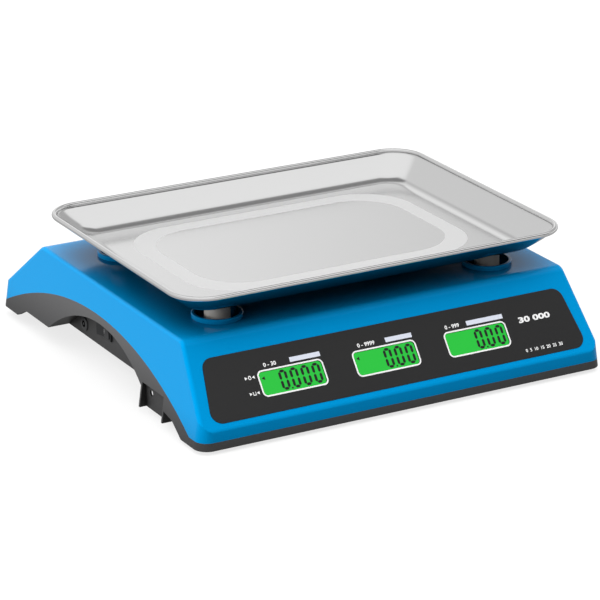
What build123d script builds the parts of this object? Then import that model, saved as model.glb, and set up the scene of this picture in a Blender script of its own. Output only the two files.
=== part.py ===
from build123d import *

import os
from math import cos, radians, sin, sqrt, tan

os.makedirs("parts", exist_ok=True)

# Price-computing retail scale, millimetres. The origin is on the supporting surface under the middle of
# the base, +Z up. The customer's display slopes down towards -Y, the operator's panel towards +Y.

# ---------------------------------------------------------------- housing form
HALF_WIDTH = 178.3            # side wall at the supporting surface
FRONT_Y = -176.5              # front wall at the supporting surface
REAR_Y = 177.06               # rear wall at the supporting surface
DECK_Z = 74.2                 # flat deck under the pan
DRAFT = 7.6                   # lean of the four outer walls, degrees
CORNER_RADIUS = 11.5          # upright corners of the base
EDGE_RADIUS = 3.0             # edge between a side wall and the deck or a slope
FRONT_SLOPE = 51.6            # customer slope, degrees from level
REAR_SLOPE = 38.5             # operator slope, degrees from level
FRONT_CREASE_Y = -129.3       # where the deck meets the customer slope
REAR_CREASE_Y = 113.3         # where the deck meets the operator slope
CREASE_RADII = [4.0, 9.0, 12.0, 14.0]   # front knee, front crease, rear crease, rear knee
WALL = 2.5                    # moulded wall of both housings
LEAN = tan(radians(DRAFT))
SLACK = 0.3                   # clearance round pieces set into a moulding
SMALL_EDGE = 1.0              # small rounding or bevel on separate pieces

# ---------------------------------------------------------------- seam between the two housings
SEAM_Z = 9.3                  # level part of the seam, front and rear
SEAM_APEX = (9.5, 51.6)       # highest point of the arched seam on the sides, y and z
SEAM_RADIUS = 345.0
TONGUE_HEIGHT = 2.0           # locating tongue that stands up inside the upper housing
TONGUE_WALL = 1.0
TONGUE_GAP = 0.15
SKIRT_WALL = WALL + TONGUE_GAP + TONGUE_WALL

# ---------------------------------------------------------------- lower housing
PLATE_Z = 15.0                # underside of the bottom plate
PLATE_TOP = PLATE_Z + WALL
FRONT_SKIRT_Z = 3.1
REAR_SKIRT_Z = 7.3
SKIRT_EDGE = [(-144.5, FRONT_SKIRT_Z), (-128.0, 12.1), (-112.0, PLATE_Z), (130.0, PLATE_Z),
              (144.0, REAR_SKIRT_Z)]
GRIP_APEX = (1.5, 45.5)       # top of the arched hand recess in each side, y and z
GRIP_RADIUS = 135.0
GRIP_WALL_X = 158.0           # inner wall of the hand recess
POCKET_WALL_X = 172.0         # plate at the back of the seal pocket
POCKET_Y = (-114.0, -75.0)    # outer faces of the two ribs beside the seal pocket
POCKET_TOP = 25.0
POCKET_RIB = 2.0
FIN_BOTTOM = 5.0
SEAL_HOLE_RADIUS = 2.5
SEAL_HOLE = (-86.0, 18.5)     # y and z
SEAL_PLATE = 1.5              # left of the plate round the seal hole
SEAL_ROOM = (10.0, 20.0, 10.0)
SEAL_ROOM_PLACE = (-83.0, 18.0)

# ---------------------------------------------------------------- pan and what carries it
PAN_WIDTH = 338.4
PAN_DEPTH = 249.4
PAN_Y = -14.4                 # middle of the pan
PAN_FLOOR_Z = 87.0            # underside of the pan floor
SHEET = 0.9                   # stainless sheet
PAN_WALL_ANGLE = 38.5         # of the pan's sloping walls, from level
PAN_FOLD_RADIUS = 13.0        # inside of the fold between floor and wall
PAN_CORNERS = (9.0, 14.3)     # corner radius of the wall at the floor and at the rim
PAN_BEAD_RADIUS = 2.0         # rolled rim
PAN_RIM_Z = 108.4
POST_SPACING = (240.0, 160.0)
POST_RADIUS = 10.0
POST_BORE = 4.8
PAD_HEIGHT = 1.5
PEG_RADIUS = 4.4
PEG_LENGTH = 11.0
COLLAR_RADIUS = 19.8
COLLAR_HOLE_RADIUS = 17.5
COLLAR_HEIGHT = 3.5
COLLAR_SKIRT = 8.0            # how far the collar's tube hangs below the deck
FRAME_Z = 50.0                # underside of the load frame
FRAME_HEIGHT = 8.0
FRAME_SKIN = 3.0
ARM_WIDTH = 24.0
HUB = (150.0, 46.0)

# ---------------------------------------------------------------- load cell
CELL = (130.0, 28.0, 22.0)
CELL_Z = 24.0
CELL_BOLTS_X = (42.0, 57.0)
CABLE_RADIUS = 1.6
CABLE_REACH = (11.0, 27.0, 6.0)           # steps of the cable's run beside the load cell
CABLE_BEND = 4.0
CELL_HOLE_RADIUS = 7.0
CELL_HOLE_SPACING = 22.0
BOLT_RADIUS = 3.0
BOLT_HEAD_RADIUS = 5.0
BOLT_HEAD = 4.0
STOP_GAP = 1.3                # clearance under the frame before an overload stop touches
STOP_FRACTION = 0.62          # place of a stop along its arm
STOP_PILLAR_Z = 40.0

# ---------------------------------------------------------------- panels, displays and keys
PANEL_SHEET = 1.5
PANEL_PROUD = 0.3
PANEL_CORNER = 9.0
CUSTOMER_PANEL = (315.6, 331.4, 51.0)     # top width, bottom width, height
OPERATOR_PANEL = (315.0, 328.0, 62.0)
CUSTOMER_DISTANCE = 42.1                  # from the deck's crease down the slope to the panel's middle
OPERATOR_DISTANCE = 38.4
WINDOW = (53.4, 18.4, 3.0)                # clear opening in a panel and its corner radius
WINDOW_PITCH = 81.2
CUSTOMER_WINDOWS = (-8.6, -2.3)           # middle window's place on the panel
OPERATOR_WINDOWS = (0.0, 15.5)
LCD_BODY = (60.0, 25.0)
LCD_FACE_DEPTH = 0.2                      # glass below the slope
LCD_BACK_DEPTH = 6.6                      # back of a display module, on its board
LCD_FRAME_DEPTH = 1.4
LCD_ROOM = 1.0                            # room round a display module in its opening
STANDOFF_RADIUS = 3.0
BOARD_SHEET = 1.6
CUSTOMER_BOARD = (244.0, 34.0)
OPERATOR_BOARD = (292.0, 58.0)
BOARD_MARGIN = (8.0, 6.0)                 # standoffs sit this far inside a board's outline, both ends together
KEY_COLUMNS = 10
KEY_PITCH = (28.0, 14.0)
KEY_CAP = (22.0, 11.0)
KEY_CORNER = 1.5
KEY_ROWS_V = -14.5                        # middle of the two key rows on the operator panel
KEY_GAP = 0.3
KEY_PROUD = 2.0
KEY_FLANGE = 1.0                          # flange round the cap's foot
KEY_STEM_RADIUS = 2.0
KEY_STEM = 2.0
KEY_TRAVEL = 1.2
KEY_REST_GAP = 0.1                        # between a key's flange and the back of the panel
KEY_TAPER = 3.0
KEY_MAT = 1.0

# ---------------------------------------------------------------- power, feet and fasteners
BATTERY = (47.0, 101.0, 47.0)
BATTERY_X = 129.5
DOOR = (52.0, 110.0, 2.4)
DOOR_RIBS = 7
RAIL = (2.0, 1.5)                         # web of a door rail and the lip under it
DOOR_RIB = (26.0, 1.2, 0.8)               # length, width and height of a finger rib
DOOR_RIB_PITCH = 3.0
DOOR_RIB_PLACE = 14.0                     # middle of the ribs from the end that is pushed
BATTERY_SLACK = 1.0
TERMINAL = (1.0, 4.8, 5.0)
TERMINAL_PLACE = (28.0, 40.0)             # spacing across the battery and distance from its middle
JACK_PLACE = (58.0, 24.5)                 # y and z on the left grip wall
JACK_FLANGE = (6.0, 1.0)                  # radius and thickness
JACK_BODY_RADIUS = 4.5
JACK_BORE_RADIUS = 2.8
JACK_PIN_RADIUS = 1.0
JACK_LENGTH = 14.0
SWITCH_PLACE = (19.0, 32.5)
SWITCH_BEZEL = (21.0, 15.0, 1.8)
SWITCH_BODY = (18.6, 12.8, 14.0)
SWITCH_CORNER = 1.2
SWITCH_BEVEL = 0.6
SWITCH_WELL = 8.4                         # depth of the rocker's well behind the wall
SWITCH_BLADE = (0.8, 4.8, 7.0)
ROCKER = (16.4, 10.8)
ROCKER_TILT = 9.0
ROCKER_FACE = 2.4                         # valley of the rocker in front of its pivot
ROCKER_HEEL = (6.56, 1.5, 5.0)            # half width and depths of the rounded heel behind the pivot
FOOT_PLACE = (140.0, 150.0)
FOOT_RADIUS = 14.0
FOOT_DISC = 6.0
STUD_RADIUS = 3.95
STUD_BORE = 4.02
STUD_TOP = 28.0
FOOT_BOSS = (8.0, 9.0, 24.0)              # radius, bottom and top
SCREW_PLACES = [(-148.0, -118.0), (148.0, -118.0), (-60.0, 100.0), (60.0, 100.0), (-146.0, 100.0), (146.0, 100.0)]
SCREW_JOINT_Z = 26.0
SCREW_RADIUS = 1.45
SCREW_HOLE = 1.5
SCREW_HEAD = (3.2, 2.2)
PILLAR_RADIUS = 4.5
SCREW_LENGTH = 22.0
LEVEL_PLACE = (0.0, 97.0)
LEVEL_RADIUS = 8.0
LEVEL_FLANGE = (9.5, 1.0)                 # radius and thickness
MAIN_BOARD = (110.0, 66.0)
MAIN_BOARD_Y = -80.0
MAIN_BOARD_Z = 24.0
CHIP_PLACES = [(-8.0, -4.0), (26.0, 8.0)]
CHIP = (14.0, 2.4)
CAPACITOR_PLACES = [(34.0, -18.0), (45.0, -18.0)]
CAPACITOR = (4.0, 11.0)                   # radius and height
SOCKET_PLACES_X = [-44.0, -16.0, 12.0]
SOCKET = (14.0, 6.0, 7.0)
SOCKET_INSET = 6.0

POSTS = [(x, PAN_Y + y) for x in (-POST_SPACING[0] / 2, POST_SPACING[0] / 2)
         for y in (-POST_SPACING[1] / 2, POST_SPACING[1] / 2)]
STOPS = [(x * STOP_FRACTION, PAN_Y + (y - PAN_Y) * STOP_FRACTION) for x, y in POSTS]
FEET = [(x, y) for x in (-FOOT_PLACE[0], FOOT_PLACE[0]) for y in (-FOOT_PLACE[1], FOOT_PLACE[1])]
FRAME_TOP = FRAME_Z + FRAME_HEIGHT
POST_TOP = PAN_FLOOR_Z - PAD_HEIGHT
CORNER_NAMES = ["left_front", "left_rear", "right_front", "right_rear"]


def slope_plane(crease_y, slope, distance, facing):
    """Work plane on a slope: origin at the panel's middle, local x to the reader's right, local y uphill."""
    run = cos(radians(slope))
    fall = sin(radians(slope))
    return Plane(origin=(0, crease_y + facing * distance * run, DECK_Z - distance * fall), x_dir=(-facing, 0, 0),
                 z_dir=(0, facing * fall, run))


CUSTOMER = slope_plane(FRONT_CREASE_Y, FRONT_SLOPE, CUSTOMER_DISTANCE, -1)
OPERATOR = slope_plane(REAR_CREASE_Y, REAR_SLOPE, OPERATOR_DISTANCE, 1)


def keep(builder, name):
    """Label a finished piece and write it."""
    builder.part.label = name
    export_step(builder.part, f"parts/{name}.step")


def side_profile():
    """Side view of the housing as corner points, from the front foot over the deck to the rear foot."""
    front_slope = tan(radians(FRONT_SLOPE))
    rear_slope = tan(radians(REAR_SLOPE))
    front_knee_z = (DECK_Z + front_slope * (FRONT_Y - FRONT_CREASE_Y)) / (1 - front_slope * LEAN)
    rear_knee_z = (DECK_Z - rear_slope * (REAR_Y - REAR_CREASE_Y)) / (1 - rear_slope * LEAN)
    return [(FRONT_Y, 0), (FRONT_Y + LEAN * front_knee_z, front_knee_z), (FRONT_CREASE_Y, DECK_Z),
            (REAR_CREASE_Y, DECK_Z), (REAR_Y - LEAN * rear_knee_z, rear_knee_z), (REAR_Y, 0)]


def housing_form(inset, edge_radius):
    """Closed outside form of the housing, moved inwards by inset, as one solid."""
    corners = side_profile()
    with BuildPart() as form:
        with BuildSketch(Plane.YZ):
            with BuildLine():
                FilletPolyline(*corners, radius=CREASE_RADII)
                Line(corners[-1], corners[0])
            make_face()
            if inset:
                offset(amount=-inset)
        extrude(amount=HALF_WIDTH, both=True)
        for side in (-1, 1):
            wall = Plane(origin=(side * (HALF_WIDTH - inset), 0, 0), x_dir=(0, 1, 0),
                         z_dir=(side * cos(radians(DRAFT)), 0, sin(radians(DRAFT))))
            split(bisect_by=wall, keep=Keep.BOTTOM)
        if edge_radius:
            fillet([e for e in form.edges() if abs(e.center().X) > 0.9 * HALF_WIDTH and e.center().Z > 2 * WALL],
                   edge_radius)
        with BuildSketch(Plane.XY):
            with Locations((0, (FRONT_Y + REAR_Y) / 2)):
                RectangleRounded(2 * (HALF_WIDTH - inset), REAR_Y - FRONT_Y - 2 * inset, CORNER_RADIUS)
        extrude(amount=DECK_Z + 1, taper=DRAFT, mode=Mode.INTERSECT)
    return form.part


def seam_region(lift):
    """Side view of everything above the seam, raised by lift: level at both ends, arched between."""
    drop = SEAM_APEX[1] - SEAM_Z
    reach = sqrt(SEAM_RADIUS**2 - (SEAM_RADIUS - drop) ** 2)
    front = (SEAM_APEX[0] - reach, SEAM_Z + lift)
    rear = (SEAM_APEX[0] + reach, SEAM_Z + lift)
    top = 2 * DECK_Z
    with BuildSketch(Plane.YZ) as region:
        with BuildLine():
            Line((2 * FRONT_Y, SEAM_Z + lift), front)
            ThreePointArc(front, (SEAM_APEX[0], SEAM_APEX[1] + lift), rear)
            Polyline(rear, (2 * REAR_Y, SEAM_Z + lift), (2 * REAR_Y, top), (2 * FRONT_Y, top),
                     (2 * FRONT_Y, SEAM_Z + lift))
        make_face()
    return region.sketch


def grip_region(grow):
    """Side view of the arched hand recess, grown by grow, closed below the base."""
    radius = GRIP_RADIUS + grow
    apex_z = GRIP_APEX[1] + grow
    low = -WALL
    reach = sqrt(radius**2 - (radius - (apex_z - PLATE_Z)) ** 2)
    front = (max(GRIP_APEX[0] - reach, POCKET_Y[1] - grow), 0)
    front_z = apex_z - radius + sqrt(radius**2 - (front[0] - GRIP_APEX[0]) ** 2)
    with BuildSketch(Plane.YZ) as region:
        with BuildLine():
            ThreePointArc((front[0], front_z), (GRIP_APEX[0], apex_z), (GRIP_APEX[0] + reach, PLATE_Z))
            Polyline((GRIP_APEX[0] + reach, PLATE_Z), (GRIP_APEX[0] + reach, low), (front[0], low),
                     (front[0], front_z))
        make_face()
    return region.sketch


def panel_corners(size):
    """Corners of a panel that is wider at the bottom of its slope."""
    top, bottom, height = size
    return [(-top / 2, height / 2), (-bottom / 2, -height / 2), (bottom / 2, -height / 2), (top / 2, height / 2)]


def window_places(middle):
    """Centres of the three display windows of one panel."""
    return [(middle[0] + i * WINDOW_PITCH, middle[1]) for i in (-1, 0, 1)]


def key_places():
    """Centres of the keys, row by row from the top, left to right as the operator reads them."""
    return [((column - (KEY_COLUMNS - 1) / 2) * KEY_PITCH[0], KEY_ROWS_V - (row - 0.5) * KEY_PITCH[1])
            for row in range(2) for column in range(KEY_COLUMNS)]


OUTER_FORM = housing_form(0.0, EDGE_RADIUS)
INNER_FORM = housing_form(WALL, EDGE_RADIUS / 2)
TONGUE_FORM = housing_form(WALL + TONGUE_GAP, EDGE_RADIUS / 2)
CAVITY_FORM = housing_form(SKIRT_WALL, 0.0)
KEY_BLOCK = (KEY_COLUMNS * KEY_PITCH[0], 2 * KEY_PITCH[1] + LCD_ROOM)

# ================================================================ upper housing
# Blue moulded shell: deck with four spill collars, customer slope and operator slope with their recesses.
with BuildPart() as upper_housing:
    add(OUTER_FORM)
    add(INNER_FORM, mode=Mode.SUBTRACT)
    extrude(seam_region(0.0), amount=HALF_WIDTH, both=True, mode=Mode.INTERSECT)
    # Collars: a short tube through the deck round each pan post.
    with BuildSketch(Plane.XY.offset(DECK_Z - COLLAR_SKIRT)):
        with Locations(*POSTS):
            Circle(COLLAR_RADIUS)
    extrude(amount=COLLAR_SKIRT + COLLAR_HEIGHT)
    collar_tops = upper_housing.edges().filter_by(GeomType.CIRCLE).group_by(Axis.Z)[-1]
    fillet(collar_tops, SMALL_EDGE)
    with BuildSketch(Plane.XY.offset(DECK_Z - COLLAR_SKIRT)):
        with Locations(*POSTS):
            Circle(COLLAR_HOLE_RADIUS)
    extrude(amount=2 * COLLAR_SKIRT, mode=Mode.SUBTRACT)
    # Seat of the bubble level.
    with Locations((*LEVEL_PLACE, DECK_Z)):
        Hole(LEVEL_RADIUS + TONGUE_GAP)
    # Screw pillars under the deck, each with a pilot hole from below.
    with BuildSketch(Plane.XY.offset(SCREW_JOINT_Z)):
        with Locations(*SCREW_PLACES):
            Circle(PILLAR_RADIUS)
    extrude(amount=DECK_Z - WALL / 2 - SCREW_JOINT_Z)
    with BuildSketch(Plane.XY.offset(SCREW_JOINT_Z)):
        with Locations(*SCREW_PLACES):
            Circle(SCREW_HOLE)
    extrude(amount=SCREW_LENGTH, mode=Mode.SUBTRACT)
    for slope, size, windows in ((CUSTOMER, CUSTOMER_PANEL, CUSTOMER_WINDOWS),
                                 (OPERATOR, OPERATOR_PANEL, OPERATOR_WINDOWS)):
        # Recess that the panel sits in, then an opening behind each display.
        with BuildSketch(slope.offset(PANEL_PROUD)) as recess:
            Polygon(*panel_corners(size), align=None)
            fillet(recess.vertices(), PANEL_CORNER)
        extrude(amount=-PANEL_SHEET, mode=Mode.SUBTRACT)
        with BuildSketch(slope.offset(PANEL_PROUD)):
            with Locations(*window_places(windows)):
                Rectangle(LCD_BODY[0] + LCD_ROOM, LCD_BODY[1] + LCD_ROOM)
        extrude(amount=-2 * WALL, mode=Mode.SUBTRACT)
    with BuildSketch(OPERATOR.offset(PANEL_PROUD)):
        with Locations((0, KEY_ROWS_V)):
            Rectangle(*KEY_BLOCK)
    extrude(amount=-2 * WALL, mode=Mode.SUBTRACT)
    # Standoffs that carry the display boards.
    for slope, size, middle in ((CUSTOMER, CUSTOMER_BOARD, CUSTOMER_WINDOWS), (OPERATOR, OPERATOR_BOARD, (0, 0))):
        with BuildSketch(slope.offset(-LCD_BACK_DEPTH)):
            with Locations(middle):
                with GridLocations(size[0] - BOARD_MARGIN[0], size[1] - BOARD_MARGIN[1], 2, 2):
                    Circle(STANDOFF_RADIUS)
        extrude(amount=LCD_BACK_DEPTH - WALL / 2)
keep(upper_housing, "upper_housing")

# ================================================================ lower housing
# Grey moulded tub: bottom plate, skirts, arched hand recesses, seal pockets, bosses and locating tongue.
with BuildPart(mode=Mode.PRIVATE) as tub_cavity:
    add(CAVITY_FORM)
    split(bisect_by=Plane.XY.offset(PLATE_TOP), keep=Keep.TOP)
    for side in (-1, 1):
        # Keep the walls round the hand recess and behind the seal pocket.
        recess_room = grip_region(WALL).moved(Location((side * (GRIP_WALL_X - WALL), 0, 0)))
        extrude(recess_room, amount=HALF_WIDTH, dir=(side, 0, 0), mode=Mode.SUBTRACT)
        with Locations((side * HALF_WIDTH, sum(POCKET_Y) / 2, 0)):
            Box(2 * (HALF_WIDTH - POCKET_WALL_X + WALL), POCKET_Y[1] - POCKET_Y[0],
                2 * (POCKET_TOP + WALL), mode=Mode.SUBTRACT)

with BuildPart(mode=Mode.PRIVATE) as seal_fins:
    # Plate with the seal hole and a rib at each end of it, reaching down below the bottom plate.
    for side in (-1, 1):
        with Locations((side * (POCKET_WALL_X - WALL / 2), sum(POCKET_Y) / 2, FIN_BOTTOM)):
            Box(WALL, POCKET_Y[1] - POCKET_Y[0], PLATE_TOP - FIN_BOTTOM, align=(Align.CENTER, Align.CENTER, Align.MIN))
        for rib_y in (POCKET_Y[0] + POCKET_RIB / 2, POCKET_Y[1] - POCKET_RIB / 2):
            with Locations((side * HALF_WIDTH, rib_y, FIN_BOTTOM)):
                Box(2 * (HALF_WIDTH - POCKET_WALL_X + WALL), POCKET_RIB, PLATE_TOP - FIN_BOTTOM,
                    align=(Align.CENTER, Align.CENTER, Align.MIN))
    add(OUTER_FORM, mode=Mode.INTERSECT)

with BuildPart(mode=Mode.PRIVATE) as above_tongue:
    extrude(seam_region(TONGUE_HEIGHT), amount=HALF_WIDTH, both=True)
    split(bisect_by=Plane.XY.offset(PLATE_TOP), keep=Keep.TOP)

with BuildPart(mode=Mode.PRIVATE) as tongue_block:
    add(TONGUE_FORM)
    add(above_tongue.part, mode=Mode.SUBTRACT)

with BuildPart() as lower_housing:
    add(OUTER_FORM)
    extrude(seam_region(0.0), amount=HALF_WIDTH, both=True, mode=Mode.SUBTRACT)
    add(tongue_block.part)
    add(tub_cavity.part, mode=Mode.SUBTRACT)
    # Hollow inside the skirts, then the skirts' lower edge in side view.
    with BuildSketch(Plane.XY):
        with Locations((0, (FRONT_Y + REAR_Y) / 2)):
            RectangleRounded(2 * (HALF_WIDTH - SKIRT_WALL), REAR_Y - FRONT_Y - 2 * SKIRT_WALL,
                             CORNER_RADIUS - WALL / 2)
    extrude(amount=PLATE_Z, taper=DRAFT, mode=Mode.SUBTRACT)
    with BuildSketch(Plane.YZ):
        Polygon((2 * FRONT_Y, -WALL), (2 * FRONT_Y, FRONT_SKIRT_Z), *SKIRT_EDGE, (2 * REAR_Y, REAR_SKIRT_Z),
                (2 * REAR_Y, -WALL), align=None)
    extrude(amount=HALF_WIDTH, both=True, mode=Mode.SUBTRACT)
    for side in (-1, 1):
        # Hand recess, then the shallow seal pocket in front of it.
        recess = grip_region(0.0).moved(Location((side * GRIP_WALL_X, 0, 0)))
        extrude(recess, amount=HALF_WIDTH, dir=(side, 0, 0), mode=Mode.SUBTRACT)
        with Locations((side * HALF_WIDTH, sum(POCKET_Y) / 2, 0)):
            Box(2 * (HALF_WIDTH - POCKET_WALL_X), POCKET_Y[1] - POCKET_Y[0] - 2 * POCKET_RIB, 2 * POCKET_TOP,
                mode=Mode.SUBTRACT)
    add(seal_fins.part)
    # Seal hole in the left plate, and the room behind it that lets the wire out below.
    with BuildSketch(Plane.YZ.offset(-POCKET_WALL_X)):
        with Locations(SEAL_HOLE):
            Circle(SEAL_HOLE_RADIUS)
    extrude(amount=SEAL_PLATE, mode=Mode.SUBTRACT)
    with BuildSketch(Plane.YZ.offset(SEAL_PLATE - POCKET_WALL_X)):
        with Locations(SEAL_ROOM_PLACE):
            Rectangle(SEAL_ROOM[1], SEAL_ROOM[2])
    extrude(amount=SEAL_ROOM[0], mode=Mode.SUBTRACT)
    # Foot bosses through the bottom plate.
    with BuildSketch(Plane.XY.offset(FOOT_BOSS[1])):
        with Locations(*FEET):
            Circle(FOOT_BOSS[0])
    extrude(amount=FOOT_BOSS[2] - FOOT_BOSS[1])
    with BuildSketch(Plane.XY.offset(FOOT_BOSS[1])):
        with Locations(*FEET):
            Circle(STUD_BORE)
    extrude(amount=FOOT_BOSS[2], mode=Mode.SUBTRACT)
    # Pillars: housing screws, overload stops, main board, and the load cell's pad.
    with BuildSketch(Plane.XY.offset(PLATE_Z)):
        with Locations(*SCREW_PLACES):
            Circle(PILLAR_RADIUS)
    extrude(amount=SCREW_JOINT_Z - PLATE_Z)
    with Locations(*[(x, y, PLATE_Z) for x, y in SCREW_PLACES]):
        Cylinder(SCREW_HEAD[0] + SLACK, 2 * (SCREW_HEAD[1] + SLACK), mode=Mode.SUBTRACT)
        Cylinder(SCREW_HOLE, 2 * SCREW_LENGTH, mode=Mode.SUBTRACT)
    with BuildSketch(Plane.XY.offset(PLATE_Z)):
        with Locations(*STOPS):
            Circle(2 * BOLT_RADIUS)
    extrude(amount=STOP_PILLAR_Z - PLATE_Z)
    with Locations(*[(x, y, STOP_PILLAR_Z) for x, y in STOPS]):
        Cylinder(BOLT_RADIUS, 2 * (STOP_PILLAR_Z - CELL_Z), mode=Mode.SUBTRACT)
    with BuildSketch(Plane.XY.offset(PLATE_Z)):
        with Locations((0, MAIN_BOARD_Y)):
            with GridLocations(MAIN_BOARD[0] - BOARD_MARGIN[0], MAIN_BOARD[1] - BOARD_MARGIN[0], 2, 2):
                Circle(STANDOFF_RADIUS)
    extrude(amount=MAIN_BOARD_Z - PLATE_Z)
    with Locations((-sum(CELL_BOLTS_X) / 2, PAN_Y, PLATE_TOP)):
        Box(CELL[1] + WALL, CELL[1] + WALL, 2 * WALL)
    with BuildSketch(Plane.XY.offset(PLATE_Z - WALL)):
        with Locations(*[(-x, PAN_Y) for x in CELL_BOLTS_X]):
            Circle(BOLT_RADIUS + SLACK)
    extrude(amount=CELL_Z, mode=Mode.SUBTRACT)
    # Battery bay: a low wall round the opening, and two rails for its sliding door.
    with BuildSketch(Plane.XY.offset(PLATE_Z)):
        with Locations((BATTERY_X, PAN_Y)):
            Rectangle(BATTERY[0] + 2 * (BATTERY_SLACK + WALL), BATTERY[1] + 2 * (BATTERY_SLACK + WALL))
    extrude(amount=BATTERY[2] / 2)
    with BuildSketch(Plane.XY.offset(PLATE_Z)):
        with Locations((BATTERY_X, PAN_Y)):
            Rectangle(BATTERY[0] + 2 * BATTERY_SLACK, BATTERY[1] + 2 * BATTERY_SLACK)
    extrude(amount=BATTERY[2], mode=Mode.SUBTRACT)
    rail_x = DOOR[0] / 2 + SLACK
    rail_bottom = PLATE_Z - DOOR[2] - 2 * SLACK - RAIL[1]
    for side in (-1, 1):
        with BuildSketch(Plane.XZ.offset(-(PAN_Y + DOOR[1] / 2))):
            with Locations((BATTERY_X, 0)):
                Polygon((side * rail_x, PLATE_Z), (side * (rail_x + RAIL[0]), PLATE_Z),
                        (side * (rail_x + RAIL[0]), rail_bottom), (side * (rail_x - RAIL[0]), rail_bottom),
                        (side * (rail_x - RAIL[0]), rail_bottom + RAIL[1]), (side * rail_x, rail_bottom + RAIL[1]),
                        align=None)
        extrude(amount=DOOR[1])
    # Openings for the power jack and the rocker switch in the left hand recess.
    with BuildSketch(Plane.YZ.offset(-GRIP_WALL_X - WALL)):
        with Locations(JACK_PLACE):
            Circle(JACK_BODY_RADIUS + SLACK / 2)
        with Locations(SWITCH_PLACE):
            Rectangle(SWITCH_BODY[0] + SLACK, SWITCH_BODY[1] + SLACK)
    extrude(amount=3 * WALL, mode=Mode.SUBTRACT)
keep(lower_housing, "lower_housing")

with BuildPart() as housing_screws:
    with Locations(*[(x, y, PLATE_Z + SCREW_HEAD[1]) for x, y in SCREW_PLACES]):
        Cylinder(SCREW_HEAD[0], SCREW_HEAD[1], align=(Align.CENTER, Align.CENTER, Align.MAX))
        Cylinder(SCREW_RADIUS, SCREW_LENGTH, align=(Align.CENTER, Align.CENTER, Align.MIN))
keep(housing_screws, "housing_screws")

# ================================================================ weighing pan and its carrier
bead_half = (PAN_WIDTH / 2 - PAN_BEAD_RADIUS, PAN_DEPTH / 2 - PAN_BEAD_RADIUS)
bead_z = PAN_RIM_Z - PAN_BEAD_RADIUS
half_wall = SHEET / (2 * sin(radians(PAN_WALL_ANGLE)))    # half the wall's thickness, measured level


def pan_form(bottom_z, shift, fold):
    """Solid tray whose sides are one face of the pan's wall, shifted level from the middle of the sheet."""
    with BuildPart(mode=Mode.PRIVATE) as form:
        for z, corner in zip((bottom_z, bead_z), PAN_CORNERS):
            outwards = shift - (bead_z - z) / tan(radians(PAN_WALL_ANGLE))
            with BuildSketch(Plane((0, PAN_Y, z))):
                RectangleRounded(2 * (bead_half[0] + outwards), 2 * (bead_half[1] + outwards), corner + shift)
        loft()
        fillet(form.faces().sort_by(Axis.Z)[0].edges(), fold)
    return form.part


with BuildPart() as weighing_pan:
    # Flat floor, wide fold and sloping wall in one sheet, with a rolled rim.
    add(pan_form(PAN_FLOOR_Z, half_wall, PAN_FOLD_RADIUS + SHEET))
    add(pan_form(PAN_FLOOR_Z + SHEET, -half_wall, PAN_FOLD_RADIUS), mode=Mode.SUBTRACT)
    with BuildLine(Plane((0, PAN_Y, bead_z))) as rim_line:
        x, y = bead_half
        Polyline((0, -y), (x, -y), (x, y), (-x, y), (-x, -y), (0, -y))
        fillet([corner for corner in rim_line.vertices() if corner.X], PAN_CORNERS[1])
    with BuildSketch(Plane((0, PAN_Y - bead_half[1], bead_z), x_dir=(0, -1, 0), z_dir=(-1, 0, 0))):
        Circle(PAN_BEAD_RADIUS)
    sweep(path=rim_line.wire())
keep(weighing_pan, "weighing_pan")

with BuildPart() as pan_pegs:
    with Locations(*[(x, y, PAN_FLOOR_Z) for x, y in POSTS]):
        Cylinder(PEG_RADIUS, PEG_LENGTH, align=(Align.CENTER, Align.CENTER, Align.MAX))
    chamfer(pan_pegs.edges().group_by(Axis.Z)[0], SMALL_EDGE)
keep(pan_pegs, "pan_pegs")

arm_length = sqrt(POST_SPACING[0] ** 2 + POST_SPACING[1] ** 2)
arm_turn = Vector(*POST_SPACING).get_angle(Vector(1, 0, 0))
with BuildPart() as load_frame:
    # Cast cross: hub and four arms, hollow underneath, with solid pads at the posts and overload stops.
    with BuildSketch(Plane((0, PAN_Y, FRAME_Z))):
        RectangleRounded(*HUB, 2 * FRAME_SKIN)
        for turn in (-arm_turn, arm_turn):
            SlotCenterToCenter(arm_length, ARM_WIDTH, rotation=turn)
    extrude(amount=FRAME_HEIGHT)
    with BuildSketch(Plane((0, PAN_Y, FRAME_Z))):
        for turn in (-arm_turn, arm_turn):
            SlotCenterToCenter(arm_length, ARM_WIDTH - 2 * FRAME_SKIN, rotation=turn)
        Rectangle(*HUB, mode=Mode.SUBTRACT)
        with Locations(*[(x, y - PAN_Y) for x, y in POSTS + STOPS]):
            Circle(ARM_WIDTH / 2, mode=Mode.SUBTRACT)
    extrude(amount=FRAME_HEIGHT - FRAME_SKIN, mode=Mode.SUBTRACT)
    with BuildSketch(Plane.XY.offset(FRAME_Z)):
        with Locations(*[(x, PAN_Y) for x in CELL_BOLTS_X]):
            Circle(BOLT_RADIUS + SLACK)
    extrude(amount=FRAME_HEIGHT, mode=Mode.SUBTRACT)
keep(load_frame, "load_frame")

for (post_x, post_y), corner in zip(POSTS, CORNER_NAMES):
    with BuildPart() as pan_post:
        with BuildSketch(Plane((post_x, post_y, FRAME_TOP))):
            Circle(1.3 * POST_RADIUS)
        extrude(amount=FRAME_SKIN)
        with BuildSketch(Plane((post_x, post_y, FRAME_TOP))):
            Circle(POST_RADIUS)
        extrude(amount=POST_TOP - FRAME_TOP)
        chamfer(pan_post.edges().filter_by(GeomType.CIRCLE).group_by(Axis.Z)[-1], SMALL_EDGE)
        with Locations((post_x, post_y, POST_TOP)):
            Hole(POST_BORE, PEG_LENGTH + PAD_HEIGHT)
    keep(pan_post, f"pan_post_{corner}")

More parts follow.
